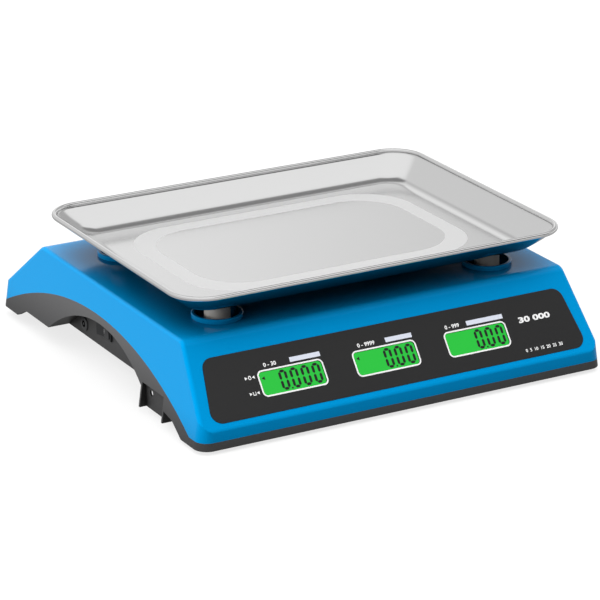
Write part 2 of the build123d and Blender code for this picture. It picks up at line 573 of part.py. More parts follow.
with BuildPart() as post_pads:
    with Locations(*[(x, y, POST_TOP) for x, y in POSTS]):
        Cylinder(POST_RADIUS - SMALL_EDGE, PAD_HEIGHT, align=(Align.CENTER, Align.CENTER, Align.MIN))
        Hole(POST_BORE)
keep(post_pads, "post_pads")

# ================================================================ load cell
with BuildPart() as load_cell:
    # Aluminium bar with two joined cross holes that leave four thin bending necks.
    with Locations((0, PAN_Y, CELL_Z)):
        Box(*CELL, align=(Align.CENTER, Align.CENTER, Align.MIN))
    with BuildSketch(Plane.XZ.offset(-PAN_Y)):
        with Locations((0, CELL_Z + CELL[2] / 2)):
            with GridLocations(CELL_HOLE_SPACING, 0, 2, 1):
                Circle(CELL_HOLE_RADIUS)
            Rectangle(CELL_HOLE_SPACING, CELL_HOLE_RADIUS)
    extrude(amount=CELL[1], both=True, mode=Mode.SUBTRACT)
    with Locations(*[(side * x, PAN_Y, CELL_Z + CELL[2]) for side in (-1, 1) for x in CELL_BOLTS_X]):
        Hole(BOLT_RADIUS + SLACK)
keep(load_cell, "load_cell")

for name, side, low, high in (("load_cell_riser", -1, PLATE_TOP + WALL, CELL_Z),
                              ("load_frame_spacer", 1, CELL_Z + CELL[2], FRAME_Z)):
    with BuildPart() as spacer:
        with Locations((side * sum(CELL_BOLTS_X) / 2, PAN_Y, low)):
            Box(CELL[1], CELL[1], high - low, align=(Align.CENTER, Align.CENTER, Align.MIN))
        with Locations(*[(side * x, PAN_Y, high) for x in CELL_BOLTS_X]):
            Hole(BOLT_RADIUS + SLACK)
    keep(spacer, name)

for name, side, head_z, direction in (("load_cell_bolts", -1, PLATE_Z, -1), ("load_frame_bolts", 1, FRAME_TOP, 1)):
    with BuildPart() as bolts:
        with BuildSketch(Plane.XY.offset(head_z)):
            with Locations(*[(side * x, PAN_Y) for x in CELL_BOLTS_X]):
                RegularPolygon(BOLT_HEAD_RADIUS, 6)
        extrude(amount=direction * BOLT_HEAD)
        with BuildSketch(Plane.XY.offset(head_z)):
            with Locations(*[(side * x, PAN_Y) for x in CELL_BOLTS_X]):
                Circle(BOLT_RADIUS)
        extrude(amount=-direction * CELL[2])
    keep(bolts, name)

with BuildPart() as overload_stops:
    # Set screws standing under the arms of the frame.
    with Locations(*[(x, y, FRAME_Z - STOP_GAP) for x, y in STOPS]):
        Cylinder(BOLT_HEAD_RADIUS, BOLT_HEAD, align=(Align.CENTER, Align.CENTER, Align.MAX))
        Cylinder(BOLT_RADIUS - SLACK / 2, CELL[2], align=(Align.CENTER, Align.CENTER, Align.MAX))
keep(overload_stops, "overload_stops")

# ================================================================ main board, battery and power
with BuildPart() as main_board:
    # Bare board with its converter chip, two capacitors and a row of sockets.
    with Locations((0, MAIN_BOARD_Y, MAIN_BOARD_Z)):
        Box(MAIN_BOARD[0], MAIN_BOARD[1], BOARD_SHEET, align=(Align.CENTER, Align.CENTER, Align.MIN))
    board_top = MAIN_BOARD_Z + BOARD_SHEET
    with BuildSketch(Plane((0, MAIN_BOARD_Y, board_top))):
        with Locations(*CHIP_PLACES):
            Rectangle(CHIP[0], CHIP[0])
    extrude(amount=CHIP[1])
    with BuildSketch(Plane((0, MAIN_BOARD_Y, board_top))):
        with Locations(*CAPACITOR_PLACES):
            Circle(CAPACITOR[0])
    extrude(amount=CAPACITOR[1])
    with BuildSketch(Plane((0, MAIN_BOARD_Y, board_top))):
        with Locations(*[(x, MAIN_BOARD[1] / 2 - SOCKET_INSET) for x in SOCKET_PLACES_X]):
            Rectangle(SOCKET[0], SOCKET[1])
    extrude(amount=SOCKET[2])
keep(main_board, "main_board")

cable_start = Vector(-CELL[0] / 2, PAN_Y, CELL_Z + CELL[2] / 2)
cable_end = Vector(SOCKET_PLACES_X[0], MAIN_BOARD_Y + MAIN_BOARD[1] / 2 - SOCKET_INSET + SOCKET[1] / 2,
                   board_top + SOCKET[2] / 2)
with BuildPart() as load_cell_cable:
    with BuildLine() as cable_path:
        FilletPolyline(cable_start, cable_start + Vector(-CABLE_REACH[0], 0, 0),
                       cable_start - Vector(*CABLE_REACH),
                       (cable_end.X, cable_start.Y - CABLE_REACH[1], cable_end.Z), cable_end, radius=CABLE_BEND)
    with BuildSketch(Plane(origin=cable_path.line @ 0, z_dir=cable_path.line % 0)):
        Circle(CABLE_RADIUS)
    sweep()
keep(load_cell_cable, "load_cell_cable")

door_top = PLATE_Z - SLACK
with BuildPart() as battery:
    with Locations((BATTERY_X, PAN_Y, door_top)):
        Box(*BATTERY, align=(Align.CENTER, Align.CENTER, Align.MIN))
    fillet(battery.edges().filter_by(Axis.Z), 2 * SMALL_EDGE)
    chamfer(battery.faces().sort_by(Axis.Z)[-1].edges(), SMALL_EDGE)
    with BuildSketch(Plane((BATTERY_X, PAN_Y + TERMINAL_PLACE[1], door_top + BATTERY[2]))):
        with GridLocations(TERMINAL_PLACE[0], 0, 2, 1):
            Rectangle(TERMINAL[0], TERMINAL[1])
    extrude(amount=TERMINAL[2])
keep(battery, "battery")

with BuildPart() as battery_door:
    with Locations((BATTERY_X, PAN_Y, door_top)):
        Box(*DOOR, align=(Align.CENTER, Align.CENTER, Align.MAX))
    # Finger ribs near the end that is pushed.
    with BuildSketch(Plane((BATTERY_X, PAN_Y - DOOR[1] / 2 + DOOR_RIB_PLACE, door_top - DOOR[2]))):
        with GridLocations(0, DOOR_RIB_PITCH, 1, DOOR_RIBS):
            SlotOverall(DOOR_RIB[0], DOOR_RIB[1])
    extrude(amount=-DOOR_RIB[2])
keep(battery_door, "battery_door")

jack_plane = Plane(origin=(-GRIP_WALL_X, *JACK_PLACE), x_dir=(0, -1, 0), z_dir=(-1, 0, 0))
with BuildPart() as power_jack:
    # Barrel socket with its centre pin, fixed through the wall of the left hand recess.
    with BuildSketch(jack_plane):
        Circle(JACK_FLANGE[0])
    extrude(amount=JACK_FLANGE[1])
    with BuildSketch(jack_plane):
        Circle(JACK_BODY_RADIUS)
    extrude(amount=-JACK_LENGTH)
    chamfer(power_jack.edges().filter_by(GeomType.CIRCLE).group_by(Axis.X)[0], SMALL_EDGE / 2)
    with BuildSketch(jack_plane.offset(JACK_FLANGE[1])):
        Circle(JACK_BORE_RADIUS)
        Circle(JACK_PIN_RADIUS, mode=Mode.SUBTRACT)
    extrude(amount=JACK_FLANGE[1] - JACK_LENGTH, mode=Mode.SUBTRACT)
keep(power_jack, "power_jack")

switch_plane = Plane(origin=(-GRIP_WALL_X, *SWITCH_PLACE), x_dir=(0, -1, 0), z_dir=(-1, 0, 0))
rocker_room = (ROCKER[0] + SMALL_EDGE, ROCKER[1] + 2 * SLACK)
with BuildPart() as power_switch:
    with BuildSketch(switch_plane):
        RectangleRounded(SWITCH_BEZEL[0], SWITCH_BEZEL[1], SWITCH_CORNER)
    extrude(amount=SWITCH_BEZEL[2])
    chamfer(power_switch.faces().sort_by(Axis.X)[0].edges(), SWITCH_BEVEL)
    with BuildSketch(switch_plane):
        Rectangle(SWITCH_BODY[0], SWITCH_BODY[1])
    extrude(amount=-SWITCH_BODY[2])
    with BuildSketch(switch_plane.offset(SWITCH_BEZEL[2])):
        Rectangle(*rocker_room)
    extrude(amount=-(SWITCH_BEZEL[2] + SWITCH_WELL), mode=Mode.SUBTRACT)
    with BuildSketch(switch_plane.offset(-SWITCH_BODY[2])):
        with GridLocations(SWITCH_BODY[0] / 2, 0, 2, 1):
            Rectangle(SWITCH_BLADE[0], SWITCH_BLADE[1])
    extrude(amount=-SWITCH_BLADE[2])
keep(power_switch, "power_switch")

rocker_rise = ROCKER[0] / 2 * tan(radians(ROCKER_TILT))
with BuildPart() as power_rocker:
    # Two facets in a shallow valley; at rest the end nearer the operator stands out.
    with BuildSketch(Plane(origin=(-GRIP_WALL_X, *SWITCH_PLACE), x_dir=(0, -1, 0), z_dir=(0, 0, -1)).rotated(
            (0, 0, ROCKER_TILT))) as rocker_side:
        with BuildLine():
            Polyline((-ROCKER[0] / 2, ROCKER_FACE + rocker_rise), (0, ROCKER_FACE),
                     (ROCKER[0] / 2, ROCKER_FACE + rocker_rise), (ROCKER_HEEL[0], -ROCKER_HEEL[1]),
                     (0, -ROCKER_HEEL[2]), (-ROCKER_HEEL[0], -ROCKER_HEEL[1]),
                     (-ROCKER[0] / 2, ROCKER_FACE + rocker_rise))
        make_face()
    extrude(amount=ROCKER[1] / 2, both=True)
keep(power_rocker, "power_rocker")

# ================================================================ panels, displays and keypad
for name, slope, size, windows, keys in (
        ("customer_panel", CUSTOMER, CUSTOMER_PANEL, CUSTOMER_WINDOWS, []),
        ("operator_panel", OPERATOR, OPERATOR_PANEL, OPERATOR_WINDOWS, key_places())):
    with BuildPart() as panel:
        with BuildSketch(slope.offset(PANEL_PROUD)) as face:
            Polygon(*panel_corners([length - SLACK for length in size]), align=None)
            fillet(face.vertices(), PANEL_CORNER)
            with Locations(*window_places(windows)):
                RectangleRounded(*WINDOW, mode=Mode.SUBTRACT)
            if keys:
                with Locations(*keys):
                    RectangleRounded(KEY_CAP[0] + 2 * KEY_GAP, KEY_CAP[1] + 2 * KEY_GAP, KEY_CORNER,
                                     mode=Mode.SUBTRACT)
        extrude(amount=-PANEL_SHEET)
    keep(panel, name)

for side_name, slope, windows in (("customer", CUSTOMER, CUSTOMER_WINDOWS), ("operator", OPERATOR, OPERATOR_WINDOWS)):
    for value, place in zip(("weight", "unit_price", "total"), window_places(windows)):
        with BuildPart() as display:
            # Backlit display module: frame on the board, glass standing up into the panel's window.
            with BuildSketch(slope.offset(-LCD_BACK_DEPTH)):
                with Locations(place):
                    Rectangle(*LCD_BODY)
            extrude(amount=LCD_BACK_DEPTH - LCD_FRAME_DEPTH)
            with BuildSketch(slope.offset(-LCD_FRAME_DEPTH)):
                with Locations(place):
                    RectangleRounded(WINDOW[0] - 2 * SLACK, WINDOW[1] - 2 * SLACK, WINDOW[2])
            extrude(amount=LCD_FRAME_DEPTH - LCD_FACE_DEPTH)
        keep(display, f"{side_name}_display_{value}")

for name, slope, size, middle in (("customer_board", CUSTOMER, CUSTOMER_BOARD, CUSTOMER_WINDOWS),
                                  ("operator_board", OPERATOR, OPERATOR_BOARD, (0, 0))):
    with BuildPart() as board:
        with BuildSketch(slope.offset(-LCD_BACK_DEPTH)):
            with Locations(middle):
                Rectangle(*size)
        extrude(amount=-BOARD_SHEET)
    keep(board, name)

with BuildPart() as key_mat:
    # Silicone sheet on the operator board, under the key stems.
    with BuildSketch(OPERATOR.offset(-LCD_BACK_DEPTH)):
        with Locations((0, KEY_ROWS_V)):
            Rectangle(KEY_BLOCK[0] - 3 * LCD_ROOM, KEY_BLOCK[1] - LCD_ROOM)
    extrude(amount=KEY_MAT)
keep(key_mat, "key_mat")

KEY_NAMES = ["memory_1", "memory_2", "digit_1", "digit_2", "digit_3", "digit_4", "digit_5", "zero", "tare", "light",
             "memory_3", "memory_4", "digit_6", "digit_7", "digit_8", "digit_9", "digit_0", "point", "clear", "add"]
flange_top = PANEL_SHEET - PANEL_PROUD + KEY_REST_GAP
for key_name, (u, v) in zip(KEY_NAMES, key_places()):
    with BuildPart() as key:
        with BuildSketch(OPERATOR.offset(-flange_top)):
            with Locations((u, v)):
                Rectangle(KEY_CAP[0] + 2 * KEY_FLANGE, KEY_CAP[1] + 2 * KEY_FLANGE)
        extrude(amount=-KEY_FLANGE)
        with BuildSketch(OPERATOR.offset(-flange_top)):
            with Locations((u, v)):
                RectangleRounded(*KEY_CAP, KEY_CORNER)
        extrude(amount=flange_top + PANEL_PROUD + KEY_PROUD, taper=KEY_TAPER)
        cap_top = key.faces().sort_by(Axis(OPERATOR.origin, OPERATOR.z_dir))[-1]
        chamfer(cap_top.edges(), SMALL_EDGE / 2)
        with BuildSketch(OPERATOR.offset(-flange_top - KEY_FLANGE)):
            with Locations((u, v)):
                Circle(KEY_STEM_RADIUS)
        extrude(amount=-KEY_STEM)
    keep(key, f"key_{key_name}")

# ================================================================ level and feet
with BuildPart() as bubble_level:
    with BuildSketch(Plane((*LEVEL_PLACE, DECK_Z))):
        Circle(LEVEL_FLANGE[0])
    extrude(amount=LEVEL_FLANGE[1])
    with BuildSketch(Plane((*LEVEL_PLACE, DECK_Z))):
        Circle(LEVEL_RADIUS)
    extrude(amount=-COLLAR_SKIRT)
    chamfer(bubble_level.edges().filter_by(GeomType.CIRCLE).group_by(Axis.Z)[-1], SMALL_EDGE / 2)
keep(bubble_level, "bubble_level")

for (foot_x, foot_y), corner in zip(FEET, CORNER_NAMES):
    with BuildPart() as foot:
        # Threaded stud in a soft-edged disc that is turned by hand.
        with BuildSketch(Plane((foot_x, foot_y, 0))):
            Circle(FOOT_RADIUS)
        extrude(amount=FOOT_DISC)
        chamfer(foot.edges().filter_by(GeomType.CIRCLE), SMALL_EDGE)
        with BuildSketch(Plane((foot_x, foot_y, FOOT_DISC))):
            Circle(STUD_RADIUS)
        extrude(amount=STUD_TOP - FOOT_DISC)
    keep(foot, f"foot_{corner}")
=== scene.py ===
import logging
import math
from dataclasses import dataclass, field
from enum import Enum
from typing import Any

import bpy
import numpy as np
from mathutils import Matrix, Vector


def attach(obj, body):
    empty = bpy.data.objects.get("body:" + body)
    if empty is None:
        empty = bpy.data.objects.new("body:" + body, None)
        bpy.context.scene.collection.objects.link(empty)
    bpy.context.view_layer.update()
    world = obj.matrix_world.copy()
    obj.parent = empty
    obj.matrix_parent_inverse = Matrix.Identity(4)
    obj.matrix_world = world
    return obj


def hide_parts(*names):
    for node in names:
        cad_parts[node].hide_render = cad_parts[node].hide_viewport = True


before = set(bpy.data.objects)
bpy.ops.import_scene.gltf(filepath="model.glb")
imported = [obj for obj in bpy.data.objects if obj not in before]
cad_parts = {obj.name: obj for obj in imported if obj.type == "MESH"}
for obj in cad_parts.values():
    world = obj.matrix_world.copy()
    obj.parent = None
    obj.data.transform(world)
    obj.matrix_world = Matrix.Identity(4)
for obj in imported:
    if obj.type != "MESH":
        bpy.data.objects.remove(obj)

# Looks of a price-computing counter scale: finishes, printed panels, display digits, key legends, the
# pan's folded sheet, floor, light and camera. Lengths are millimetres in the row frame until they are
# written to a mesh.

LOG = logging.getLogger("scale")
MM = 0.001

# ---------------------------------------------------------------- shared sizes
DECK_Z = 74.2
PANEL_FACE = 0.3              # printed face of a panel above its slope
GLASS_FACE = -0.2             # display glass below its slope
INK = 0.04                    # ink above the surface that it is printed on
WINDOW_PITCH = 81.2
WINDOW_SIZE = (53.4, 18.4, 3.0)  # width, height and corner radius
DOT_POINTS = 20               # points round a dot on a key
RING_POINTS = 24              # points round a larger printed ring or disc
VALUES = ("weight", "unit_price", "total")
CORNERS = ("left_front", "left_rear", "right_front", "right_rear")

# ---------------------------------------------------------------- node numbers
WHITE = (1.0, 1.0, 1.0, 1.0)
BLACK = (0.0, 0.0, 0.0, 1.0)
COLOURS = {"data_type": "RGBA"}
SOFT_STEP = {"interpolation_type": "SMOOTHSTEP"}
# Sockets of a mix: its share, its two numbers, its two colours, and the colour that comes out.
SHARE, NUMBER_A, NUMBER_B, COLOUR_A, COLOUR_B, COLOUR_OUT = 0, 2, 3, 6, 7, 2
# Bounces are whole numbers, so a half tells none from one, and one and a half tells one from two.
NO_BOUNCE, ONE_BOUNCE = 0.5, 1.5
GRAIN_DETAIL = 2.0
GRAIN_RELIEF = 0.1            # height of a surface's grain against its size
# Samples of the ambient occlusion that paints shade into base colours.
PAINTED_SHADE_SAMPLES = 12


# ---------------------------------------------------------------- finishes
@dataclass(frozen=True)
class Finish:
    """A plain finish.

    Args:
        name: Real name of the material.
        colour: sRGB hex, such as "#1b80c4".
        roughness: Micro roughness, 0 for a mirror.
        metallic: 1 for bare metal.
        ior: Index of refraction.
        grain_mm: Size of the surface's grain, 0 for none.
        grain_depth: Strength of the grain, 0 to 1.
        sheen: sRGB hex that the gloss takes on, white for an untinted one.
        painted_shade_mm: Reach of the painted shade, which darkens the base colour by ambient occlusion in
            hollows, 0 for none.
        painted_shade_power: How fast the painted shade darkens.
        painted_shade_own: Whether only the piece's own shape casts the painted shade.
    """

    name: str
    colour: str
    roughness: float
    metallic: float = 0.0
    ior: float = 1.5
    grain_mm: float = 0.0
    grain_depth: float = 0.0
    sheen: str = "#ffffff"
    painted_shade_mm: float = 0.0
    painted_shade_power: float = 1.0
    painted_shade_own: bool = True


class Stock(Enum):
    """Every plain finish of the scale."""

    # Glossy moulding: a clear highlight along each edge. Its gloss keeps the blue of the pigment, so the
    # colour stays deep in a pale room. Its base colour carries painted shade: ambient occlusion within 30
    # mm darkens it under the pan and in other hollows.
    BLUE_ABS = Finish("abs_blue_gloss", "#0090d0", 0.13, ior=1.36, grain_mm=2.5, grain_depth=0.01,
                      sheen="#0090ff", painted_shade_mm=30.0, painted_shade_power=0.8, painted_shade_own=False)
    # Spark-eroded moulding: highlights break up, so the grey reads flat and soft. Its base colour carries
    # painted shade: ambient occlusion within 60 mm darkens the hand recess and the faces low near the
    # floor.
    GREY_ABS = Finish("abs_grey_grained", "#565657", 0.5, ior=1.54, grain_mm=0.5, grain_depth=0.12,
                      painted_shade_mm=60.0, painted_shade_power=2.5, painted_shade_own=False)
    # Printed polycarbonate film: an even dark sheet with a soft sheen.
    DARK_FILM = Finish("polycarbonate_film", "#111112", 0.36, ior=1.585, grain_mm=0.35, grain_depth=0.05)
    # Screen printing: flat solid colour with crisp edges.
    WHITE_INK = Finish("screen_ink_white", "#f4f4f4", 0.45)
    PALE_INK = Finish("screen_ink_pale", "#dde2f0", 0.45)
    DARK_INK = Finish("screen_ink_dark", "#1c1f24", 0.5)
    # Twisted nematic segments: nearly black against the lit glass.
    SEGMENT = Finish("display_segment", "#04140a", 0.4)
    # Moulded nylon: a waxy, slightly uneven sheen.
    NYLON = Finish("nylon_grey", "#a19e9a", 0.38, ior=1.53, grain_mm=0.8, grain_depth=0.04)
    # The same nylon in black: smooth enough for a narrow highlight.
    BLACK_NYLON = Finish("nylon_black", "#18191b", 0.3, ior=1.53)
    # Moulded rubber: dull, with hardly a highlight.
    RUBBER = Finish("rubber_black", "#191919", 0.75, ior=1.52, grain_mm=0.6, grain_depth=0.15)
    # Pressed silicone: matt and slightly milky.
    SILICONE = Finish("silicone_white", "#d9d8d2", 0.6, ior=1.41)
    # Fine-grained key caps: a soft sheen that leaves the legend easy to read.
    KEY_GREY = Finish("abs_key_grey", "#dfe2e6", 0.42, ior=1.54, grain_mm=0.4, grain_depth=0.05)
    KEY_BLUE = Finish("abs_key_blue", "#2f78b4", 0.42, ior=1.54, grain_mm=0.4, grain_depth=0.05)
    # Solder mask: a deep green lacquer over the board.
    SOLDER_MASK = Finish("solder_mask_green", "#155a34", 0.35, ior=1.55)
    # Coarsely grained battery case: an even, dull black.
    BATTERY_ABS = Finish("abs_battery_black", "#202226", 0.5, ior=1.54, grain_mm=0.6, grain_depth=0.1)
    # Bright zinc: small fasteners catch a cold glint.
    ZINC = Finish("zinc_plated_steel", "#c9cbd0", 0.28, metallic=1.0)
    # Die casting: a dull metal with a slightly pitted skin.
    ALUMINIUM = Finish("aluminium_cast", "#c2c4c8", 0.42, metallic=1.0, grain_mm=0.7, grain_depth=0.1)
    # Dyed spirit under a lens: bright and wet.
    LIQUID = Finish("level_liquid", "#8fce3a", 0.08, ior=1.45)
    BUBBLE = Finish("level_bubble", "#dff2b4", 0.05, ior=1.45)


def linear(colour: str) -> tuple[float, float, float, float]:
    """Turns an sRGB hex colour into linear red, green, blue and alpha.

    Args:
        colour: Hex string with a leading #.

    Returns:
        Four floats from 0 to 1.
    """
    parts = [int(colour[i:i + 2], 16) / 255 for i in (1, 3, 5)]
    return (*[c / 12.92 if c <= 0.04045 else ((c + 0.055) / 1.055) ** 2.4 for c in parts], 1.0)


def node(tree: bpy.types.NodeTree, kind: str, settings: dict[str, Any] | None = None,
         inputs: dict[str | int, Any] | tuple[Any, ...] = ()) -> bpy.types.Node:
    """Adds a shader node, sets its options, and fills or links its inputs.

    Args:
        tree: Node tree to add to.
        kind: Blender's node type after "ShaderNode", such as "Math".
        settings: Options by name.
        inputs: Values, sockets or nodes, by input name or number or in order. A node stands for its first
            output.

    Returns:
        The new node.
    """
    made = tree.nodes.new("ShaderNode" + kind)
    for key, value in (settings or {}).items():
        setattr(made, key, value)
    for key, value in inputs.items() if isinstance(inputs, dict) else enumerate(inputs):
        source = value.outputs[0] if isinstance(value, bpy.types.Node) else value
        if isinstance(source, bpy.types.NodeSocket):
            tree.links.new(source, made.inputs[key])
        else:
            made.inputs[key].default_value = source
    return made


def new_tree(name: str) -> tuple[bpy.types.Material, bpy.types.NodeTree]:
    """Makes an empty node material.

    Args:
        name: Name of the material.

    Returns:
        The material and its node tree.
    """
    material = bpy.data.materials.new(name)
    material.use_nodes = True
    material.node_tree.nodes.clear()
    return material, material.node_tree


def finish_tree(tree: bpy.types.NodeTree, shader: bpy.types.Node) -> None:
    """Links a shader to the material's output.

    Args:
        tree: Node tree of the material.
        shader: Node whose first output is the surface.
    """
    node(tree, "OutputMaterial", inputs={"Surface": shader})


def plain_material(finish: Finish) -> bpy.types.Material:
    """Builds a plain finish: one principled shader, with the grain that it has, and painted shade where the
    base colour is darkened by ambient occlusion in hollows.

    Args:
        finish: What the surface is.

    Returns:
        The material.
    """
    material, tree = new_tree(finish.name)
    colour = linear(finish.colour)
    values = {"Base Color": colour, "Roughness": finish.roughness, "Metallic": finish.metallic,
              "Specular Tint": linear(finish.sheen)}
    if not finish.metallic:
        values["IOR"] = finish.ior
    if finish.grain_mm:
        grain = node(tree, "TexNoise", inputs={
            "Vector": node(tree, "TexCoord").outputs["Object"], "Scale": 1 / (finish.grain_mm * MM),
            "Detail": GRAIN_DETAIL})
        values["Normal"] = node(tree, "Bump", inputs={
            "Strength": finish.grain_depth, "Distance": GRAIN_RELIEF * finish.grain_mm * MM,
            "Height": grain})
    # Painted shade: ambient occlusion darkens the base colour in hollows, under overhangs and near the
    # floor.
    if finish.painted_shade_mm:
        light = node(tree, "AmbientOcclusion", {
            "samples": PAINTED_SHADE_SAMPLES, "only_local": finish.painted_shade_own}, {
            "Distance": finish.painted_shade_mm * MM})
        share = node(tree, "Math", {"operation": "POWER"}, (light.outputs["AO"], finish.painted_shade_power))
        shaded = node(tree, "Mix", COLOURS, {SHARE: share, COLOUR_A: BLACK, COLOUR_B: colour})
        values["Base Color"] = shaded.outputs[COLOUR_OUT]
    finish_tree(tree, node(tree, "BsdfPrincipled", inputs=values))
    return material


def rounded_distance(tree: bpy.types.NodeTree, place: tuple[Any, Any], half: tuple[float, float],
                     radius: float) -> bpy.types.Node:
    """Signed distance from a rounded rectangle about the origin, in metres, below 0 inside.

    The distance is the length of the positive part of (|x| - a, |y| - b), less the corner radius, where a
    and b are the half sizes less that radius. Inside the corner square it is only an upper bound, which is
    enough to tell inside from outside.

    Args:
        tree: Node tree to add to.
        place: Nodes or sockets of x and y.
        half: Half sizes in millimetres.
        radius: Corner radius in millimetres.

    Returns:
        The node that gives the distance.
    """
    squares = []
    for coordinate, size in zip(place, half):
        reach = node(tree, "Math", {"operation": "ABSOLUTE"}, (coordinate,))
        past = node(tree, "Math", {"operation": "SUBTRACT"}, (reach, (size - radius) * MM))
        over = node(tree, "Math", {"operation": "MAXIMUM"}, (past, 0.0))
        squares.append(node(tree, "Math", {"operation": "MULTIPLY"}, (over, over)))
    total = node(tree, "Math", {"operation": "ADD"}, tuple(squares))
    length = node(tree, "Math", {"operation": "SQRT"}, (total,))
    return node(tree, "Math", {"operation": "SUBTRACT"}, (length, radius * MM))


@dataclass(frozen=True)
class PanSheet:
    """Stainless sheet with a ground band on the floor.

    The polished sheet mirrors the room softly, and the ground band scatters it into a pale stripe.

    Args:
        colour: sRGB hex of the polished metal.
        satin_colour: sRGB hex of the ground band.
        polish: Roughness of the polished sheet.
        satin: Roughness of the ground band.
        band_half: Half sizes of the band's outer and inner edge.
        band_radii: Corner radii of the same.
        band_y: Middle of the band.
        edge: Half width of the band's soft edges.
        floor_z: Lowest height that counts as the floor's upper face.
        streak: Length and width of a rolling mark.
        streak_detail: How finely the marks break up.
        streak_depth: How far they stir the roughness.
        crevice_shade: sRGB hex of the painted shade in the gap under the rolled rim, which also darkens the
            outside.
    """

    colour: str = "#dedede"
    satin_colour: str = "#f1f1f1"
    polish: float = 0.14
    satin: float = 0.55
    band_half: tuple[tuple[float, float], ...] = ((124.0, 81.0), (110.0, 67.0))
    band_radii: tuple[float, float] = (44.0, 40.0)
    band_y: float = -10.0
    edge: float = 0.3
    floor_z: float = 87.7
    streak: tuple[float, float] = (125.0, 1.1111)
    streak_detail: float = 3.0
    streak_depth: float = 0.05
    crevice_shade: str = "#858585"

    def material(self) -> bpy.types.Material:
        """Builds the sheet: polished all over, satin where the floor lies between two rounded rectangles.

        Returns:
            The material.
        """
        material, tree = new_tree("stainless_sheet")
        coords = node(tree, "TexCoord").outputs["Object"]
        x, y, z = node(tree, "SeparateXYZ", inputs=(coords,)).outputs
        from_middle = node(tree, "Math", {"operation": "SUBTRACT"}, (y, self.band_y * MM))
        band = node(tree, "Math", {"operation": "GREATER_THAN"}, (z, self.floor_z * MM))
        for half, radius, levels in zip(self.band_half, self.band_radii, ((1.0, 0.0), (0.0, 1.0))):
            within = node(tree, "MapRange", SOFT_STEP, {
                "Value": rounded_distance(tree, (x, from_middle), half, radius),
                "From Min": -self.edge * MM, "From Max": self.edge * MM,
                "To Min": levels[0], "To Max": levels[1]})
            band = node(tree, "Math", {"operation": "MULTIPLY"}, (band, within))
        # Rolling marks: long thin streaks along X that only stir the roughness a little.
        long, thin = [1 / (size * MM) for size in self.streak]
        streaks = node(tree, "Mapping", inputs={"Vector": coords, "Scale": (long, thin, thin)})
        marks = node(tree, "TexNoise", inputs={
            "Vector": streaks, "Scale": 1.0, "Detail": self.streak_detail})
        stir = node(tree, "MapRange", inputs={
            "Value": marks, "To Min": -self.streak_depth / 2, "To Max": self.streak_depth / 2})
        rough = node(tree, "MapRange", inputs={"Value": band, "To Min": self.polish, "To Max": self.satin})
        stirred = node(tree, "Math", {"operation": "ADD"}, (rough, stir))
        ground = node(tree, "Mix", COLOURS, {
            SHARE: band, COLOUR_A: linear(self.colour), COLOUR_B: linear(self.satin_colour)})
        # Painted shade: the base colour turns darker in the gap between the rolled rim and the wall, where
        # light is lost, which leaves a dark line all the way round. The same colour darkens the outside.
        crevice_shade = node(tree, "Attribute", {"attribute_name": "crevice_shade"})
        tint = node(tree, "Mix", COLOURS, {
            SHARE: crevice_shade.outputs["Fac"], COLOUR_A: ground.outputs[COLOUR_OUT],
            COLOUR_B: linear(self.crevice_shade)})
        finish_tree(tree, node(tree, "BsdfPrincipled", inputs={
            "Base Color": tint.outputs[COLOUR_OUT], "Metallic": 1.0, "Roughness": stirred}))
        return material


@dataclass(frozen=True)
class DisplayGlass:
    """Backlit display glass: evenly bright, with a faint gloss in front.

    Args:
        colour: sRGB hex of the lit field.
        glow: Emission strength of the backlight.
        unlit: sRGB hex of the glass itself.
        roughness: Micro roughness of its face.
        ior: Index of refraction.
    """

    colour: str = "#2bdc46"
    glow: float = 0.72
    unlit: str = "#0a3a10"
    roughness: float = 0.22
    ior: float = 1.52

    def material(self) -> bpy.types.Material:
        """Builds the glass: an even green glow under a smooth dark surface.

        Returns:
            The material.
        """
        material, tree = new_tree("display_glass")
        finish_tree(tree, node(tree, "BsdfPrincipled", inputs={
            "Base Color": linear(self.unlit), "Roughness": self.roughness, "IOR": self.ior,
            "Emission Color": linear(self.colour), "Emission Strength": self.glow}))
        return material


class Materials:
    """Every material of the scene, made once."""

    def __init__(self) -> None:
        """Builds the plain finishes and the two special ones."""
        self.stock = {entry: plain_material(entry.value) for entry in Stock}
        self.pan = PanSheet().material()
        self.glass = DisplayGlass().material()

    def __getitem__(self, entry: Stock) -> bpy.types.Material:
        """Looks up a plain finish.

        Args:
            entry: Which finish.

        Returns:
            The material.
        """
        return self.stock[entry]


# ---------------------------------------------------------------- meshes
@dataclass
class Surface:
    """Points and faces gathered for one piece.

    Args:
        points: Arrays of positions, n by 2, in millimetres.
        faces: Corner numbers of each face.
    """

    points: list[np.ndarray] = field(default_factory=list)
    faces: list[list[int]] = field(default_factory=list)

    def start(self) -> int:
        """Returns the number of the next point."""
        return sum(len(block) for block in self.points)

    def flat(self) -> np.ndarray:
        """Returns every point in one array."""
        return np.concatenate(self.points)

    def patch(self, loop: np.ndarray) -> None:
        """Adds one flat face.

        Args:
            loop: Its corners in order.
        """
        base = self.start()
        self.points.append(loop)
        self.faces.append(list(range(base, base + len(loop))))

    def band(self, outer: np.ndarray, inner: np.ndarray) -> None:
        """Adds the faces between two closed loops of as many points.

        Args:
            outer: First loop.
            inner: Second loop.
        """
        base = self.start()
        count = len(outer)
        self.points += [outer, inner]
        here = np.arange(count)
        ahead = (here + 1) % count
        quads = np.stack([base + here, base + ahead, base + count + ahead, base + count + here], axis=1)
        self.faces += quads.tolist()

    def merge(self, points: np.ndarray, faces: list[list[int]]) -> None:
        """Adds ready faces.

        Args:
            points: Their corners' positions.
            faces: Corner numbers, counted from 0.
        """
        base = self.start()
        self.points.append(points)
        self.faces += [[base + corner for corner in face] for face in faces]

    def level(self, height: float) -> np.ndarray:
        """Lays the points flat at one height.

        Args:
            height: The height.

        Returns:
            n by 3 positions.
        """
        flat = self.flat()
        return np.column_stack([flat, np.full(len(flat), height)])


